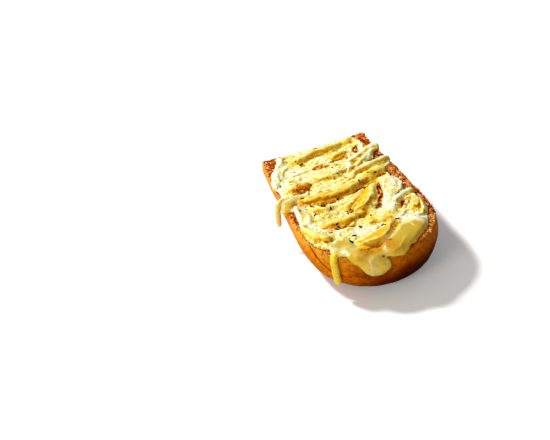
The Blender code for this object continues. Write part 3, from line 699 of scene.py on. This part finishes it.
def crust_material():
    """Baked crust: golden on the left and near the rim, deeper to the right and the foot as baking and
    painted shade, mottled, with painted shade in creases.
    """
    made, tree, shader = new_material("baked_crust", 0.01)
    down = own_value(tree, "down_the_wall")
    broad = noise_of(tree, 14, 3)
    patchy = noise_of(tree, 3.8, 3, stretch=(1, 1, 2.0))
    depth = swayed(tree, down, broad, 0.4)
    # How far the crust turns right and to the front, away from the light: baking and painted shade together
    baked_and_shaded = swayed(tree, own_value(tree, "baked_and_shaded"), broad, 0.4)
    lower = between(tree, depth, 0.05, 0.5)
    colour = toned(tree, RIM_GOLD, depth, ((-0.05, 0.35, WALL_GOLD), (0.5, 1.0, LOW_GOLD)))
    wall = blend(tree, lower, BAKED_SHADE_RIM, BAKED_SHADE_WALL)
    deep_wall = blend(tree, lower, DEEP_BAKED_SHADE_RIM, DEEP_BAKED_SHADE_WALL)
    # Deeper colours on the side turned from the light: partly baking, partly painted shade
    colour = toned(tree, colour, baked_and_shaded, ((0.1, 0.42, wall), (0.5, 0.85, deep_wall)))
    # Browner at the foot and the sole: partly the baked underside, partly painted shadow near the floor
    colour = layered(tree, colour, times(tree, baked_and_shaded, depth), 0.18, 0.56, FOOT_BROWN_AND_SHADE)
    colour = layered(tree, colour, depth, 0.82, 1.1, SOLE_BROWN_AND_SHADE, 0.8)

    patches = times(tree, between(tree, patchy, 0.42, 0.68, 0.55), blend_values(tree, lower, 0.4, 0.8))
    colour = blend(tree, patches, colour, PATCH_BROWN)
    paler = times(tree, between(tree, patchy, 0.46, 0.3, 0.175), between(tree, baked_and_shaded, 0.6, 0.1))
    colour = blend(tree, paler, colour, PATCH_GOLD)
    colour = layered(tree, colour, noise_of(tree, 1.7, 2), 0.46, 0.62, GRAIN_BROWN, 0.3)
    rim = times(tree, between(tree, swayed(tree, down, patchy, 0.3), 0.42, 0.1), own_value(tree, "paler"))
    colour = blend(tree, times(tree, rim, between(tree, baked_and_shaded, 0.3, 0.6)), colour, RIM_TAN)
    # Painted shade in the crust's creases and along its fold
    crease = between(tree, own_value(tree, "hollow"), 0.12, 0.5)
    colour = blend(tree, crease, colour, CREASE_PAINTED_SHADE, "MULTIPLY")
    tree.links.new(colour, shader.inputs["Base Color"])

    rough = put(
        tree, "MapRange",
        {"Value": patchy, "From Min": 0.3, "From Max": 0.7, "To Min": 0.42, "To Max": 0.6},
    )
    tree.links.new(rough.outputs["Result"], shader.inputs["Roughness"])
    soften(shader, 0.06, (1.0, 0.4, 0.1), 1.2)
    bump(tree, shader, grain(tree, 1.8, 0.45), 0.4, 0.35)
    return made


def toast_material():
    """The toasted face: a grain of pale, orange and dark brown crumbs, with painted shade in its hollows."""
    made, tree, shader = new_material("toasted_face", 0.02, 0.8)
    paler = own_value(tree, "paler")
    toasted = layered(tree, TOAST_ORANGE, noise_of(tree, 6, 2), 0.38, 0.62, TOAST_BROWN)
    toasted = blend(tree, times(tree, paler, 0.8), toasted, TOAST_TAN)
    # Painted shade: darker in the hollows of the toasted face
    dark = swayed(tree, own_value(tree, "hollow"), noise_of(tree, 1.2, 3), 1.6)
    toasted = layered(tree, toasted, dark, -0.25, 0.3, blend(tree, paler, PAINTED_SHADE_BROWN, PAINTED_SHADE_TAN))
    pale, tone = specks(tree, 1.1, 0.22, 0.25)
    granules = blend(tree, tone, GRANULE_PALE, GRANULE_ORANGE)
    colour = blend(tree, times(tree, pale, 0.85), toasted, granules)
    tree.links.new(colour, shader.inputs["Base Color"])
    bump(tree, shader, grain(tree, 0.9, 0.5), 0.8, 0.5)
    return made


def crumb_material():
    """The cut end: soft pale crumb, toasted orange towards the face and the crust, with painted shade in its
    pores.
    """
    made, tree, shader = new_material("bread_crumb", 0.5, 0.75)
    skin = own_value(tree, "near_skin")
    pale = blend(tree, noise_of(tree, 5, 3), CRUMB_CREAM, CRUMB_BUFF)
    # Painted shade: darker in the pores
    shaded = layered(tree, pale, own_value(tree, "hollow"), 0.05, 0.6, PORE_PAINTED_SHADE)
    toasted = layered(tree, shaded, skin, 0.35, 1.0, SKIN_ORANGE)
    dots = specks(tree, 1.2, 0.3, 0.3)[0]
    colour = blend(tree, times(tree, dots, between(tree, skin, 0.1, 0.8)), toasted, SKIN_BROWN)
    tree.links.new(colour, shader.inputs["Base Color"])
    soften(shader, 0.1, (1.0, 0.7, 0.4), 2)
    bump(tree, shader, grain(tree, 0.8, 0.5), 0.7, 0.4)
    return made


def skin_distance(places):
    """Roughly how far inside the crust a point of the cut end lies."""
    across = np.abs(places[:, 0]) / CRUMB_HALF_WIDTH
    down = np.clip(-places[:, 2] / ROLL_DEPTH, 0, 1)
    return (1 - np.maximum(across, down)) * ROLL_DEPTH


def assign_faces(bread, on_face, on_end):
    """Gives each face of the mesh the crust, the toast or the crumb, by where its first corner lies."""
    polygons = bread.data.polygons
    starts = np.empty(len(polygons), dtype=int)
    corners = np.empty(len(bread.data.loops), dtype=int)
    polygons.foreach_get("loop_start", starts)
    bread.data.loops.foreach_get("vertex_index", corners)
    first = corners[starts]
    slots = np.where(on_face[first] > 0.5, 1, np.where(on_end[first] > 0.5, 2, 0))
    polygons.foreach_set("material_index", slots)


def drawn_place(draw, field):
    """A random place in a field."""
    return draw.uniform(*field[:2]), draw.uniform(*field[2:])


def crumb_pores(places):
    """How deep the pores of the cut end are at each point, in millimetres."""
    draw = random.Random(5)
    depths = np.zeros(len(places))
    for _ in range(PORES):
        radius = 0.6 + 1.3 * draw.random() ** 3
        turn = draw.uniform(0, math.pi)
        offset = places[:, [0, 2]] - drawn_place(draw, END_FIELD)
        along = offset @ (math.cos(turn), math.sin(turn))
        across = offset @ (-math.sin(turn), math.cos(turn))
        gap = (along / radius) ** 2 + (across / (radius * draw.uniform(0.5, 0.95))) ** 2
        depths = np.maximum(depths, radius * PORE_DEPTH * np.clip(1 - gap, 0, 1))
    return depths


def shape_bread(bread):
    """Grain on the face, pores in the cut end and a fold in the crust. Gives back where each of them is."""
    melt_together(bread, BREAD_VOXEL, BREAD_SMOOTHING)
    places, normals = points_of(bread), normals_of(bread)
    on_face = smoothstep(0.45, 0.85, normals[:, 2]) * smoothstep(-3.0, -1.0, places[:, 2])
    on_end = smoothstep(0.6, 0.9, normals[:, 1]) * smoothstep(-1.6, -0.6, places[:, 1])
    on_wall = np.clip(1 - on_face - on_end, 0, 1) * smoothstep(-25.6, -24.0, places[:, 2])
    face = weigh(bread, "face", on_face)
    end = weigh(bread, "end", on_end)
    wall = weigh(bread, "wall", on_wall)
    roughen(bread, "face_crumbs", FACE_CRUMBS, face, 0.3, noise_depth=1, noise_type="HARD_NOISE")
    roughen(bread, "face_swell", FACE_SWELL, face)
    move_points(bread, (-crumb_pores(points_of(bread)) * on_end)[:, None] * np.array((0, 1, 0)))
    roughen(bread, "end_crumbs", END_CRUMBS, end, 0.7, noise_depth=1)
    roughen(bread, "crust_waves", CRUST_WAVES, wall, 0.6)
    fold = np.exp(-((path_gap(points_of(bread), CRUST_FOLD) / FOLD_WIDTH) ** 2))
    swell(bread, -FOLD_DEPTH * fold * on_wall)
    keep_in_box(bread)
    return on_face, on_end, fold


def make_bread():
    """The toasted half roll: crust, granular toasted face and crumb on the cut end."""
    bread = copy_of_node("bread", "toasted_roll")
    on_face, on_end, fold = shape_bread(bread)
    places, normals = points_of(bread), normals_of(bread)
    store(bread, "down_the_wall", np.clip(-places[:, 2] / ROLL_DEPTH, 0, 1))
    # Facing right and to the front, away from the window light: this drives the crust's deeper colour, partly
    # baking and partly painted shade
    turned_from_light = 0.85 * normals[:, 0] - 0.25 * normals[:, 1]
    store(bread, "baked_and_shaded", smoothstep(-0.9, 0.9, neighbour_mean(bread, turned_from_light, 30)))
    # Hollowness, with the crust's fold: it paints shade in creases, in the toast's hollows and in the pores
    # of the cut end
    store(bread, "hollow", hollowness(bread, 6) * 4 + fold * 0.5)
    store(bread, "paler", stroke_share(places, PALE_RIM, PALE_FEATHER))
    skin = np.maximum(smoothstep(-6, -0.5, places[:, 2]), smoothstep(6.0, 1.0, skin_distance(places)))
    store(bread, "near_skin", skin)
    for look in (crust_material(), toast_material(), crumb_material()):
        bread.data.materials.append(look)
    assign_faces(bread, on_face, on_end)
    only(bread)
    bpy.ops.object.shade_smooth()
    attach(bread, "root")
    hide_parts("bread")
    return bread


# Cheese

# Glossy runs: level places painted darker as shade, sloping and steep places painted brighter as light,
# creamy and golden places
RUN_LEVEL = (0.55, 0.38, 0.03, 1)
RUN_SLOPE = (0.76, 0.47, 0.03, 1)
RUN_STEEP = (0.9, 0.6, 0.045, 1)
RUN_CREAM = (0.86, 0.82, 0.42, 1)
RUN_GOLD = (1.0, 0.74, 0.035, 1)

# Toast that shows through, dots from the oven, and browned places, partly painted shadow at the feet of
# shreds, with the ranges over which each takes over
THIN_CHEESE = srgb(204, 108, 14)
CLEAR_CHEESE = srgb(176, 116, 14)
DOT_ORANGE = srgb(244, 160, 36)
DOT_BROWN = srgb(214, 100, 12)
BROWNED_AND_SHADOW_TONES = (
    (0.25, 0.7, srgb(228, 156, 12)), (0.75, 1.2, srgb(190, 88, 4)), (1.3, 1.75, srgb(62, 20, 2)),
)


def pool_share(places):
    """1 where the cheese ran smooth, 0 where it is grainy."""
    return spot_share(places, POOL_SPOTS, POOL_FEATHER)


def ripple_share(places):
    """1 on the crests of the ripples, steep on their left and falling off slowly on their right."""
    share = np.zeros(len(places))
    for path in RIPPLES:
        gap = path_gap(places[:, :2], path)
        along = np.subtract(path[-1], path[0])
        offset = places[:, :2] - path[0]
        right = (along[0] * offset[:, 1] - along[1] * offset[:, 0]) * np.sign(-along[1]) > 0
        share = np.maximum(share, np.where(right, smoothstep(3.0, 0, gap), smoothstep(0.8, 0, gap)))
    return share


def run_colour(tree, lean_from_light, gold):
    """The glossy runs: darker where level and brighter where they fall, as painted shade and painted light;
    creamy or golden in places.
    """
    run = toned(tree, RUN_LEVEL, lean_from_light, ((0.05, 0.45, RUN_SLOPE), (0.8, 1.1, RUN_STEEP)))
    run = blend(tree, own_value(tree, "creamy"), run, RUN_CREAM)
    return blend(tree, gold, run, RUN_GOLD)


def cheese_material():
    """Melted cheese: cream and grainy on the base, yellow on shreds, toasted in spots, clear in runs; painted
    shade in hollows, on flanks and where it leans from the light, painted highlight on crests.
    """
    made, tree, shader = new_material("melted_cheese", 0.1)
    lift, hollow, dip, lean_from_light, pool, clear, gold = (
        own_value(tree, name) for name in ("lift", "hollow", "dip", "lean_from_light", "pool", "clear", "gold")
    )
    fine = noise_of(tree, 1.3, 1)
    middling = noise_of(tree, 2.6, 2)
    raised = between(tree, lift, 1.6, 2.6)
    calm = work(tree, "MAXIMUM", times(tree, raised, 0.7), times(tree, gold, 0.5))
    base = rest_of(tree, calm)
    # Flanks of shreds against their crests: flanks painted deeper as shade, crests left paler as painted
    # highlight
    flank = between(tree, swayed(tree, dip, middling, 0.6), -0.6, 0.0)
    depth = add_up(
        tree,
        (0.22, times(tree, base, between(tree, middling, 0.4, 0.6))),
        (0.22, times(tree, base, between(tree, fine, 0.46, 0.64))),
        # Painted shade: deeper on the flanks of raised shreds
        (0.44, times(tree, raised, flank)),
        # Painted shade: deeper where the cheese leans away from the light
        (0.5, between(tree, swayed(tree, lean_from_light, fine, 0.15), 0.08, 0.9)),
        # Painted shade: deeper in small hollows and in broad dips
        (0.34, between(tree, swayed(tree, hollow, fine, 0.2), -0.05, 0.28)),
        (0.5, between(tree, swayed(tree, dip, fine, 0.5), 0.2, 0.8)),
        # The shreds' own golden tone, deeper on their flanks as painted shade
        (0.66, times(tree, gold, blend_values(tree, flank, 0.55, 1.0))),
        (-0.65, own_value(tree, "cream")),
    )
    colour = toned(tree, PALEST_CHEESE, depth, CHEESE_TONES)
    colour = layered(tree, colour, swayed(tree, lift, fine, 0.8), 0.62, 0.15, THIN_CHEESE, 0.75)
    colour = blend(tree, times(tree, pool, 0.97), colour, run_colour(tree, lean_from_light, gold))

    dots, tone = specks(tree, 1.5, 0.09, 0.3)
    toasted = blend(tree, tone, DOT_ORANGE, DOT_BROWN)
    colour = blend(tree, times(tree, dots, rest_of(tree, pool, 0.8)), colour, toasted)
    # Toasted spots, and lines at the feet of shreds that are partly toasting and partly painted shadow
    scorched_and_shadowed = swayed(tree, times(tree, own_value(tree, "brown"), 0.85), fine, 2.6)
    colour = toned(tree, colour, scorched_and_shadowed, BROWNED_AND_SHADOW_TONES)
    colour = blend(tree, times(tree, clear, 0.45), colour, CLEAR_CHEESE)
    tree.links.new(colour, shader.inputs["Base Color"])

    dull = blend_values(tree, between(tree, lift, 1.6, 2.8), 0.55, 0.42)
    tree.links.new(blend_values(tree, pool, dull, 0.26), shader.inputs["Roughness"])
    wet = blend_values(tree, pool, between(tree, lift, 1.4, 3.2), 1.7)
    wet = times(tree, wet, rest_of(tree, clear))
    tree.links.new(times(tree, wet, 0.18), shader.inputs["Coat Weight"])
    shader.inputs["Coat Roughness"].default_value = 0.14
    soften(shader, 0.42, (1.0, 0.62, 0.12), 2.5)
    grainy = times(tree, base, rest_of(tree, pool))
    bump(tree, shader, times(tree, grain(tree, 1.1, 0.5), grainy), 0.55, 0.4)
    return made


def sway(piece, scale, amount):
    """Shifts points sideways by noise, so that straight strands come out uneven."""
    noise.seed_set(SWAY_SEED)
    offsets = np.array([noise.noise_vector(vert.co / (scale * MM)) for vert in piece.data.vertices])
    offsets[:, 2] = 0
    share = 1 - pool_share(points_of(piece))
    move_points(piece, offsets * amount * share[:, None])


def merge_strands(piece):
    """Fills the hollows beside strands, and sinks them instead under the brown and painted-shadow strokes."""
    dip = neighbour_mean(piece, hollowness(piece, SHRED_ROUNDS), 4)
    foot = np.clip(stroke_share(points_of(piece), BROWNED_AND_SHADOWED, 1.6), 0, 1)
    fill = HOLLOW_FILL * np.clip(dip, 0, 1.5) * (1 - foot)
    sink = FOOT_SINK * foot * smoothstep(-0.1, 0.4, dip)
    crest = CREST_GAIN * np.clip(-dip, 0, 1)
    swell(piece, fill - sink + crest)


def drop_shoulders(piece, bread_tree):
    """Lowers the cheese beside the boldest shreds, so that they stand out roundly."""
    places = points_of(piece)
    depth = np.zeros(len(places))
    for deepest, near, far, path in SHOULDERS:
        gap = path_gap(places[:, :2], path)
        middle = 0.6 * near + 0.4 * far
        depth = np.maximum(depth, deepest * smoothstep(near, middle, gap) * smoothstep(far, middle, gap))
    room = 0.45 * np.clip(lift_over(bread_tree, piece) - 0.6, 0, None)
    move_points(piece, -np.minimum(depth, room)[:, None] * np.array((0, 0, 1)))


def rounded_path(path, steps=6):
    """A path with smooth bends through the same places."""
    ends = [path[0], *path, path[-1]]
    out = []
    for before, start, end, after in zip(ends, ends[1:], ends[2:], ends[3:]):
        a, b, c, d = (np.array(place, dtype=float) for place in (before, start, end, after))
        for step in range(steps):
            t = step / steps
            straight = 2 * b + (c - a) * t
            bent = straight + (2 * a - 5 * b + 4 * c - d) * t * t
            out.append(0.5 * (bent + (3 * b - a - 3 * c + d) * t**3))
    out.append(np.array(path[-1], dtype=float))
    return out


def make_strand(radius, path, cheese_tree, bread_tree):
    """A thin shred along a path, thicker at its middle and a little uneven."""
    spots = rounded_path(path)
    landed = [drop_on(cheese_tree, x, y)[0] or drop_on(bread_tree, x, y)[0] for x, y in spots]
    lows = [place.z / MM - FACE.z for place in landed]
    heights = np.convolve(np.pad(lows, 2, mode="edge"), np.ones(5) / 5, mode="valid")
    data = bpy.data.curves.new("strand", "CURVE")
    data.dimensions = "3D"
    data.bevel_depth = radius * MM
    data.bevel_resolution = 2
    data.use_fill_caps = True
    line = data.splines.new("POLY")
    line.points.add(len(spots) - 1)
    for number, (point, (x, y), height) in enumerate(zip(line.points, spots, heights)):
        share = number / (len(spots) - 1)
        point.co = (*at(x, y, height + radius * 0.3), 1)
        point.radius = 0.55 + 0.45 * math.sin(math.pi * share) + 0.18 * noise.noise(Vector((x, y, 0)) / 3)
    tube = placed("strand", data)
    only(tube)
    bpy.ops.object.convert(target="MESH")
    return tube


def lay_strands(piece, bread_tree):
    """Lays thin shreds over a piece and joins them to it."""
    tree = surface_of(piece)
    tubes = [make_strand(radius, path, tree, bread_tree) for radius, path in STRANDS]
    only(piece)
    for tube in tubes:
        tube.select_set(True)
    bpy.ops.object.join()


def lift_over(tree, piece):
    """How far each point of a piece is from a surface, in millimetres."""
    return np.array([tree.find_nearest(vert.co)[3] for vert in piece.data.vertices]) / MM


def roughen_base(cheese, bread_tree):
    """Swells and lumps on the low melted cheese, less on shreds and broad folds."""
    places = points_of(cheese)
    grainy = 1 - pool_share(places)
    low = grainy * smoothstep(2.6, 1.4, lift_over(bread_tree, cheese))
    low *= 1 - 0.8 * np.clip(stroke_share(places, GOLDEN, GOLD_FEATHER), 0, 1)
    low *= 1 - 0.6 * stroke_share(places, BROAD_FOLDS, PALE_FEATHER)
    roughen(cheese, "cheese_swell", CHEESE_SWELL, weigh(cheese, "grainy", grainy))
    lows = weigh(cheese, "low", low)
    roughen(cheese, "cheese_lumps", CHEESE_LUMPS, lows, noise_depth=1)
    roughen(cheese, "cheese_grain", CHEESE_GRAIN, lows, noise_depth=1)


def shape_cheese(cheese, bread_tree):
    """Strands, smooth runs with ripples, plump drips, rounded shreds and a lumpy base."""
    lay_strands(cheese, bread_tree)
    melt_together(cheese, CHEESE_VOXEL, CHEESE_SMOOTHING)
    pools = weigh(cheese, "pools", pool_share(points_of(cheese)))
    smooth(cheese, POOL_SMOOTHING, pools)
    roughen(cheese, "pool_waves", POOL_WAVES, pools)
    swell(cheese, DRIP_GAIN * spot_share(points_of(cheese), DRIP_SPOTS))
    swell(cheese, RIPPLE_HEIGHT * ripple_share(points_of(cheese)))
    for scale, amount in SWAYS:
        sway(cheese, scale, amount)
    merge_strands(cheese)
    drop_shoulders(cheese, bread_tree)
    folds = stroke_share(points_of(cheese), BROAD_FOLDS, PALE_FEATHER)
    smooth(cheese, FOLD_SMOOTHING, weigh(cheese, "folds", folds))
    shreds = stroke_share(points_of(cheese), GOLDEN, GOLD_FEATHER)
    smooth(cheese, SHRED_SMOOTHING, weigh(cheese, "shreds", shreds))
    roughen_base(cheese, bread_tree)
    keep_in_box(cheese)


def make_cheese(bread_tree):
    """The melted base with its shreds and runs, as one piece."""
    cheese = copy_of_node("melted_cheese", "cheese_melt")
    shape_cheese(cheese, bread_tree)
    places, normals = points_of(cheese), normals_of(cheese)
    store(cheese, "lift", neighbour_mean(cheese, lift_over(bread_tree, cheese), 2))
    # Hollows, broad dips and the lean from the light, which the material paints as shade and highlight
    store(cheese, "hollow", neighbour_mean(cheese, hollowness(cheese, 12), 1))
    store(cheese, "dip", neighbour_mean(cheese, hollowness(cheese, SHRED_ROUNDS), 2))
    store(cheese, "lean_from_light", neighbour_mean(cheese, 1 - normals @ np.array(LIGHTWARD), 3))
    store(cheese, "pool", neighbour_mean(cheese, pool_share(places), 3))
    # Toasted spots and painted shadow lines at the feet of shreds
    store(cheese, "brown", stroke_share(places, BROWNED_AND_SHADOWED))
    store(cheese, "gold", stroke_share(places, GOLDEN, GOLD_FEATHER))
    for name, strokes in (("cream", CREAM_FOLDS), ("clear", CLEAR_STROKES), ("creamy", CREAMY)):
        store(cheese, name, stroke_share(places, strokes, CREAM_FEATHER))
    cheese.data.materials.append(cheese_material())
    only(cheese)
    bpy.ops.object.shade_smooth()
    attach(cheese, "root")
    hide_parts("melted_cheese")
    return cheese


# Herbs and crumbs

# Dried herb, and toast crumbs from the darkest, with the ranges over which each tone takes over
HERB_BLACK = srgb(18, 8, 0)
HERB_TONES = ((0.0, 0.5, srgb(50, 38, 0)), (0.55, 1.0, srgb(92, 40, 0)))
HERB_VEIN = srgb(26, 14, 0)
DARKEST_CRUMB = srgb(104, 16, 0)
LOOSE_CRUMB_TONES = (
    (0.28, 0.42, srgb(206, 82, 0)), (0.5, 0.66, srgb(242, 148, 20)), (0.8, 0.9, srgb(254, 232, 176)),
)
CRUMB_MOTTLE = srgb(176, 84, 20)


def surface_of(piece):
    """A piece's surface, to drop things on and to measure from."""
    return BVHTree.FromObject(piece, bpy.context.evaluated_depsgraph_get())


def drop_on(tree, x, y):
    """Where a thing dropped at (x, y) on the face lands on a surface, and the way up there."""
    return tree.ray_cast(at(x, y, DROP_HEIGHT), Vector((0, 0, -1)))[:2]


def lumpy_seeds(count, depth):
    """The points of a few uneven balls of radius 1, and the faces that they share."""
    bpy.ops.mesh.primitive_ico_sphere_add(subdivisions=2, radius=1)
    ball = bpy.context.object
    apply_modifier(ball, "DECIMATE", ratio=0.6)
    rounds = [vert.co.copy() for vert in ball.data.vertices]
    faces = [tuple(face.vertices) for face in ball.data.polygons]
    bpy.data.objects.remove(ball)
    seeds = []
    for number in range(count):
        shift = Vector((number * 7.3, 0, 0))
        seeds.append([point * (1 + depth * noise.noise(point * 1.1 + shift)) for point in rounds])
    return seeds, faces


def scattered(name, seeds, faces, spots):
    """One mesh with a seed at each spot: its matrix in metres and its tone."""
    points, corners, tones = [], [], []
    for number, (place, tone) in enumerate(spots):
        start = len(points)
        points.extend(place @ point for point in seeds[number % len(seeds)])
        corners.extend(tuple(start + corner for corner in face) for face in faces)
        tones.extend([tone] * (len(points) - start))
    data = bpy.data.meshes.new(name)
    data.from_pydata(points, [], corners)
    piece = placed(name, data)
    keep_in_box(piece)
    store(piece, "tone", tones)
    data.shade_smooth()
    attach(piece, "root")
    return piece


def lying(place, normal, turn, sizes, sink):
    """A matrix that lays a seed of these half sizes in millimetres on a surface, turned about its normal."""
    upright = normal.to_track_quat("Z", "Y").to_matrix().to_4x4()
    stretch = Matrix.Diagonal((*(size * MM for size in sizes), 1))
    return Matrix.Translation(place - normal * sink * MM) @ upright @ Matrix.Rotation(turn, 4, "Z") @ stretch


def herb_material():
    """Dried herb: dark olive to nearly black."""
    made, tree, shader = new_material("dried_herb", 0.0, 0.9)
    colour = toned(tree, HERB_BLACK, own_value(tree, "tone"), HERB_TONES)
    colour = layered(tree, colour, noise_of(tree, 0.5), 0.4, 0.65, HERB_VEIN)
    tree.links.new(colour, shader.inputs["Base Color"])
    return made


def in_a_run(x, y):
    """1 at a place on the face where the cheese ran smooth."""
    return pool_share(np.array([[x, y]]))[0]


def large_flecks(draw, cheese_tree):
    """The larger herb flecks at their own places."""
    spots = []
    for x, y, length, turn in FLECKS:
        place, normal = drop_on(cheese_tree, x, y)
        sizes = (length * 0.58, length * draw.uniform(0.22, 0.34), 0.35)
        spots.append((lying(place, normal, math.radians(turn), sizes, -0.1), draw.uniform(0, 0.7)))
    return spots


def foot_flecks(draw, cheese_tree):
    """Dark scraps gathered along the darkest brown and shadow lines at the feet of the shreds."""
    feet = [path for strength, _, path in BROWNED_AND_SHADOWED if strength > FOOT_BROWNNESS]
    spots = []
    while len(spots) < FOOT_HERBS:
        path = draw.choice(feet)
        x, y = draw.choice(rounded_path(path)) + np.array((draw.gauss(0, 0.7), draw.gauss(0, 0.7)))
        place, normal = drop_on(cheese_tree, x, y)
        if place is None or in_a_run(x, y) > 0.5:
            continue
        sizes = (draw.uniform(0.4, 0.8), draw.uniform(0.3, 0.5), 0.25)
        spots.append((lying(place, normal, draw.uniform(0, math.pi), sizes, -0.05), draw.uniform(0, 0.3)))
    return spots


def small_flecks(draw, cheese_tree):
    """Small herb scraps all over the grainy cheese."""
    spots = []
    while len(spots) < SMALL_HERBS:
        x, y = drawn_place(draw, HERB_FIELD)
        place, normal = drop_on(cheese_tree, x, y)
        if place is None or normal.z < 0.5 or in_a_run(x, y) > 0.3:
            continue
        size = draw.uniform(0.3, 0.62) * draw.uniform(0.7, 1.25)
        sizes = (size, size * draw.uniform(0.35, 0.8), 0.16)
        spots.append((lying(place, normal, draw.uniform(0, math.pi), sizes, -0.02), draw.uniform(0, 1)))
    return spots


def make_herbs(cheese_tree):
    """Dried herb scraps pressed into the cheese."""
    draw = random.Random(11)
    spots = [spot for kind in (large_flecks, foot_flecks, small_flecks) for spot in kind(draw, cheese_tree)]
    herbs = scattered("herb_flecks", *lumpy_seeds(6, 0.5), spots)
    herbs.data.materials.append(herb_material())
    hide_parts("melted_cheese")


def loose_crumb_material():
    """Toasted crumbs: dark brown, orange or nearly white."""
    made, tree, shader = new_material("toast_crumbs", 0.03, 0.7)
    colour = toned(tree, DARKEST_CRUMB, own_value(tree, "tone"), LOOSE_CRUMB_TONES)
    colour = layered(tree, colour, noise_of(tree, 0.8), 0.5, 0.65, CRUMB_MOTTLE, 0.35)
    tree.links.new(colour, shader.inputs["Base Color"])
    soften(shader, 0.1, (1.0, 0.6, 0.3), 0.8)
    return made


def make_crumbs(cheese_tree, bread_tree):
    """Loose toasted crumb grains on the bare parts of the toasted face."""
    draw = random.Random(23)
    spots = []
    while len(spots) < CRUMBS:
        x, y = drawn_place(draw, CRUMB_FIELD)
        place, normal = drop_on(bread_tree, x, y)
        cover = drop_on(cheese_tree, x, y)[0]
        if place is None or normal.z < 0.3 or place.z / MM < ROLL_DEPTH - 2.2:
            continue
        if cover is not None and cover.z > place.z - 0.2 * MM:
            continue
        size = draw.uniform(0.28, 0.72)
        sizes = (size, size * draw.uniform(0.6, 1), size * draw.uniform(0.45, 0.9))
        paler = stroke_share(np.array([[x, y]]), PALE_RIM, PALE_FEATHER)[0]
        patch = noise.noise(Vector((x, y, 0)) / 3.5)
        tone = min(1.0 - 0.2 * paler, 0.1 + draw.uniform(0, 0.8) + 0.25 * paler + 0.9 * patch)
        spots.append((lying(place, normal, draw.uniform(0, math.pi), sizes, 0.1), tone))
    crumbs = scattered("toast_crumbs", *lumpy_seeds(8, 0.8), spots)
    crumbs.data.materials.append(loose_crumb_material())
    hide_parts("bread")


# Studio


def make_floor():
    """A wide pale floor, lighter to the camera than to the food."""
    bpy.ops.mesh.primitive_plane_add(size=FLOOR_SIZE, location=(0, 0, 0))
    floor = bpy.context.object
    floor.name = "studio_floor"
    made, tree, shader = new_material("pale_floor", 0.1, 0.9)
    seen = put(tree, "LightPath").outputs["Is Camera Ray"]
    tree.links.new(blend(tree, seen, (0.5, 0.5, 0.5, 1), (0.95, 0.95, 0.95, 1)), shader.inputs["Base Color"])
    tree.links.new(blend(tree, seen, (0, 0, 0, 1), (0.16, 0.16, 0.16, 1)), shader.inputs["Emission Color"])
    shader.inputs["Emission Strength"].default_value = 1.0
    floor.data.materials.append(made)


def area_light(name, place, size, power, colour):
    """A square soft light that looks at the middle of the roll."""
    data = bpy.data.lights.new(name, "AREA")
    data.size = size
    data.energy = power
    data.color = colour
    lamp = placed(name, data)
    lamp.location = place
    lamp.rotation_euler = (Vector(place) - at(0, -75)).to_track_quat("Z", "Y").to_euler()


def make_studio():
    """A bright window behind, a weak fill in front and an even pale room."""
    make_floor()
    world = bpy.data.worlds.new("studio_world")
    world.use_nodes = True
    tree = world.node_tree
    seen = put(tree, "LightPath").outputs["Is Camera Ray"]
    background = tree.nodes["Background"]
    background.inputs["Color"].default_value = (1, 1, 1, 1)
    tree.links.new(blend_values(tree, seen, ROOM_LIGHT, 1.0), background.inputs["Strength"])
    bpy.context.scene.world = world
    for light in LIGHTS:
        area_light(*light)


def make_camera():
    """The camera at the photograph's angle, with plain screen colours."""
    data = bpy.data.cameras.new("camera")
    data.sensor_width = SENSOR_WIDTH
    data.lens = FOCAL_PIXELS * SENSOR_WIDTH / IMAGE_WIDTH
    data.clip_start, data.clip_end = 0.01, 50
    camera = placed("camera", data)
    turn = Matrix((CAMERA_RIGHT, CAMERA_UP, CAMERA_BACK)).transposed().to_4x4()
    camera.matrix_world = Matrix.Translation(at(*CAMERA_PLACE)) @ turn
    bpy.context.scene.camera = camera
    bpy.context.scene.view_settings.view_transform = "Standard"
    bpy.context.scene.view_settings.look = "None"


make_camera()
make_studio()
bread = make_bread()
bread_surface = surface_of(bread)
cheese = make_cheese(bread_surface)
cheese_surface = surface_of(cheese)
make_herbs(cheese_surface)
make_crumbs(cheese_surface, bread_surface)

bpy.ops.object.select_all(action="DESELECT")
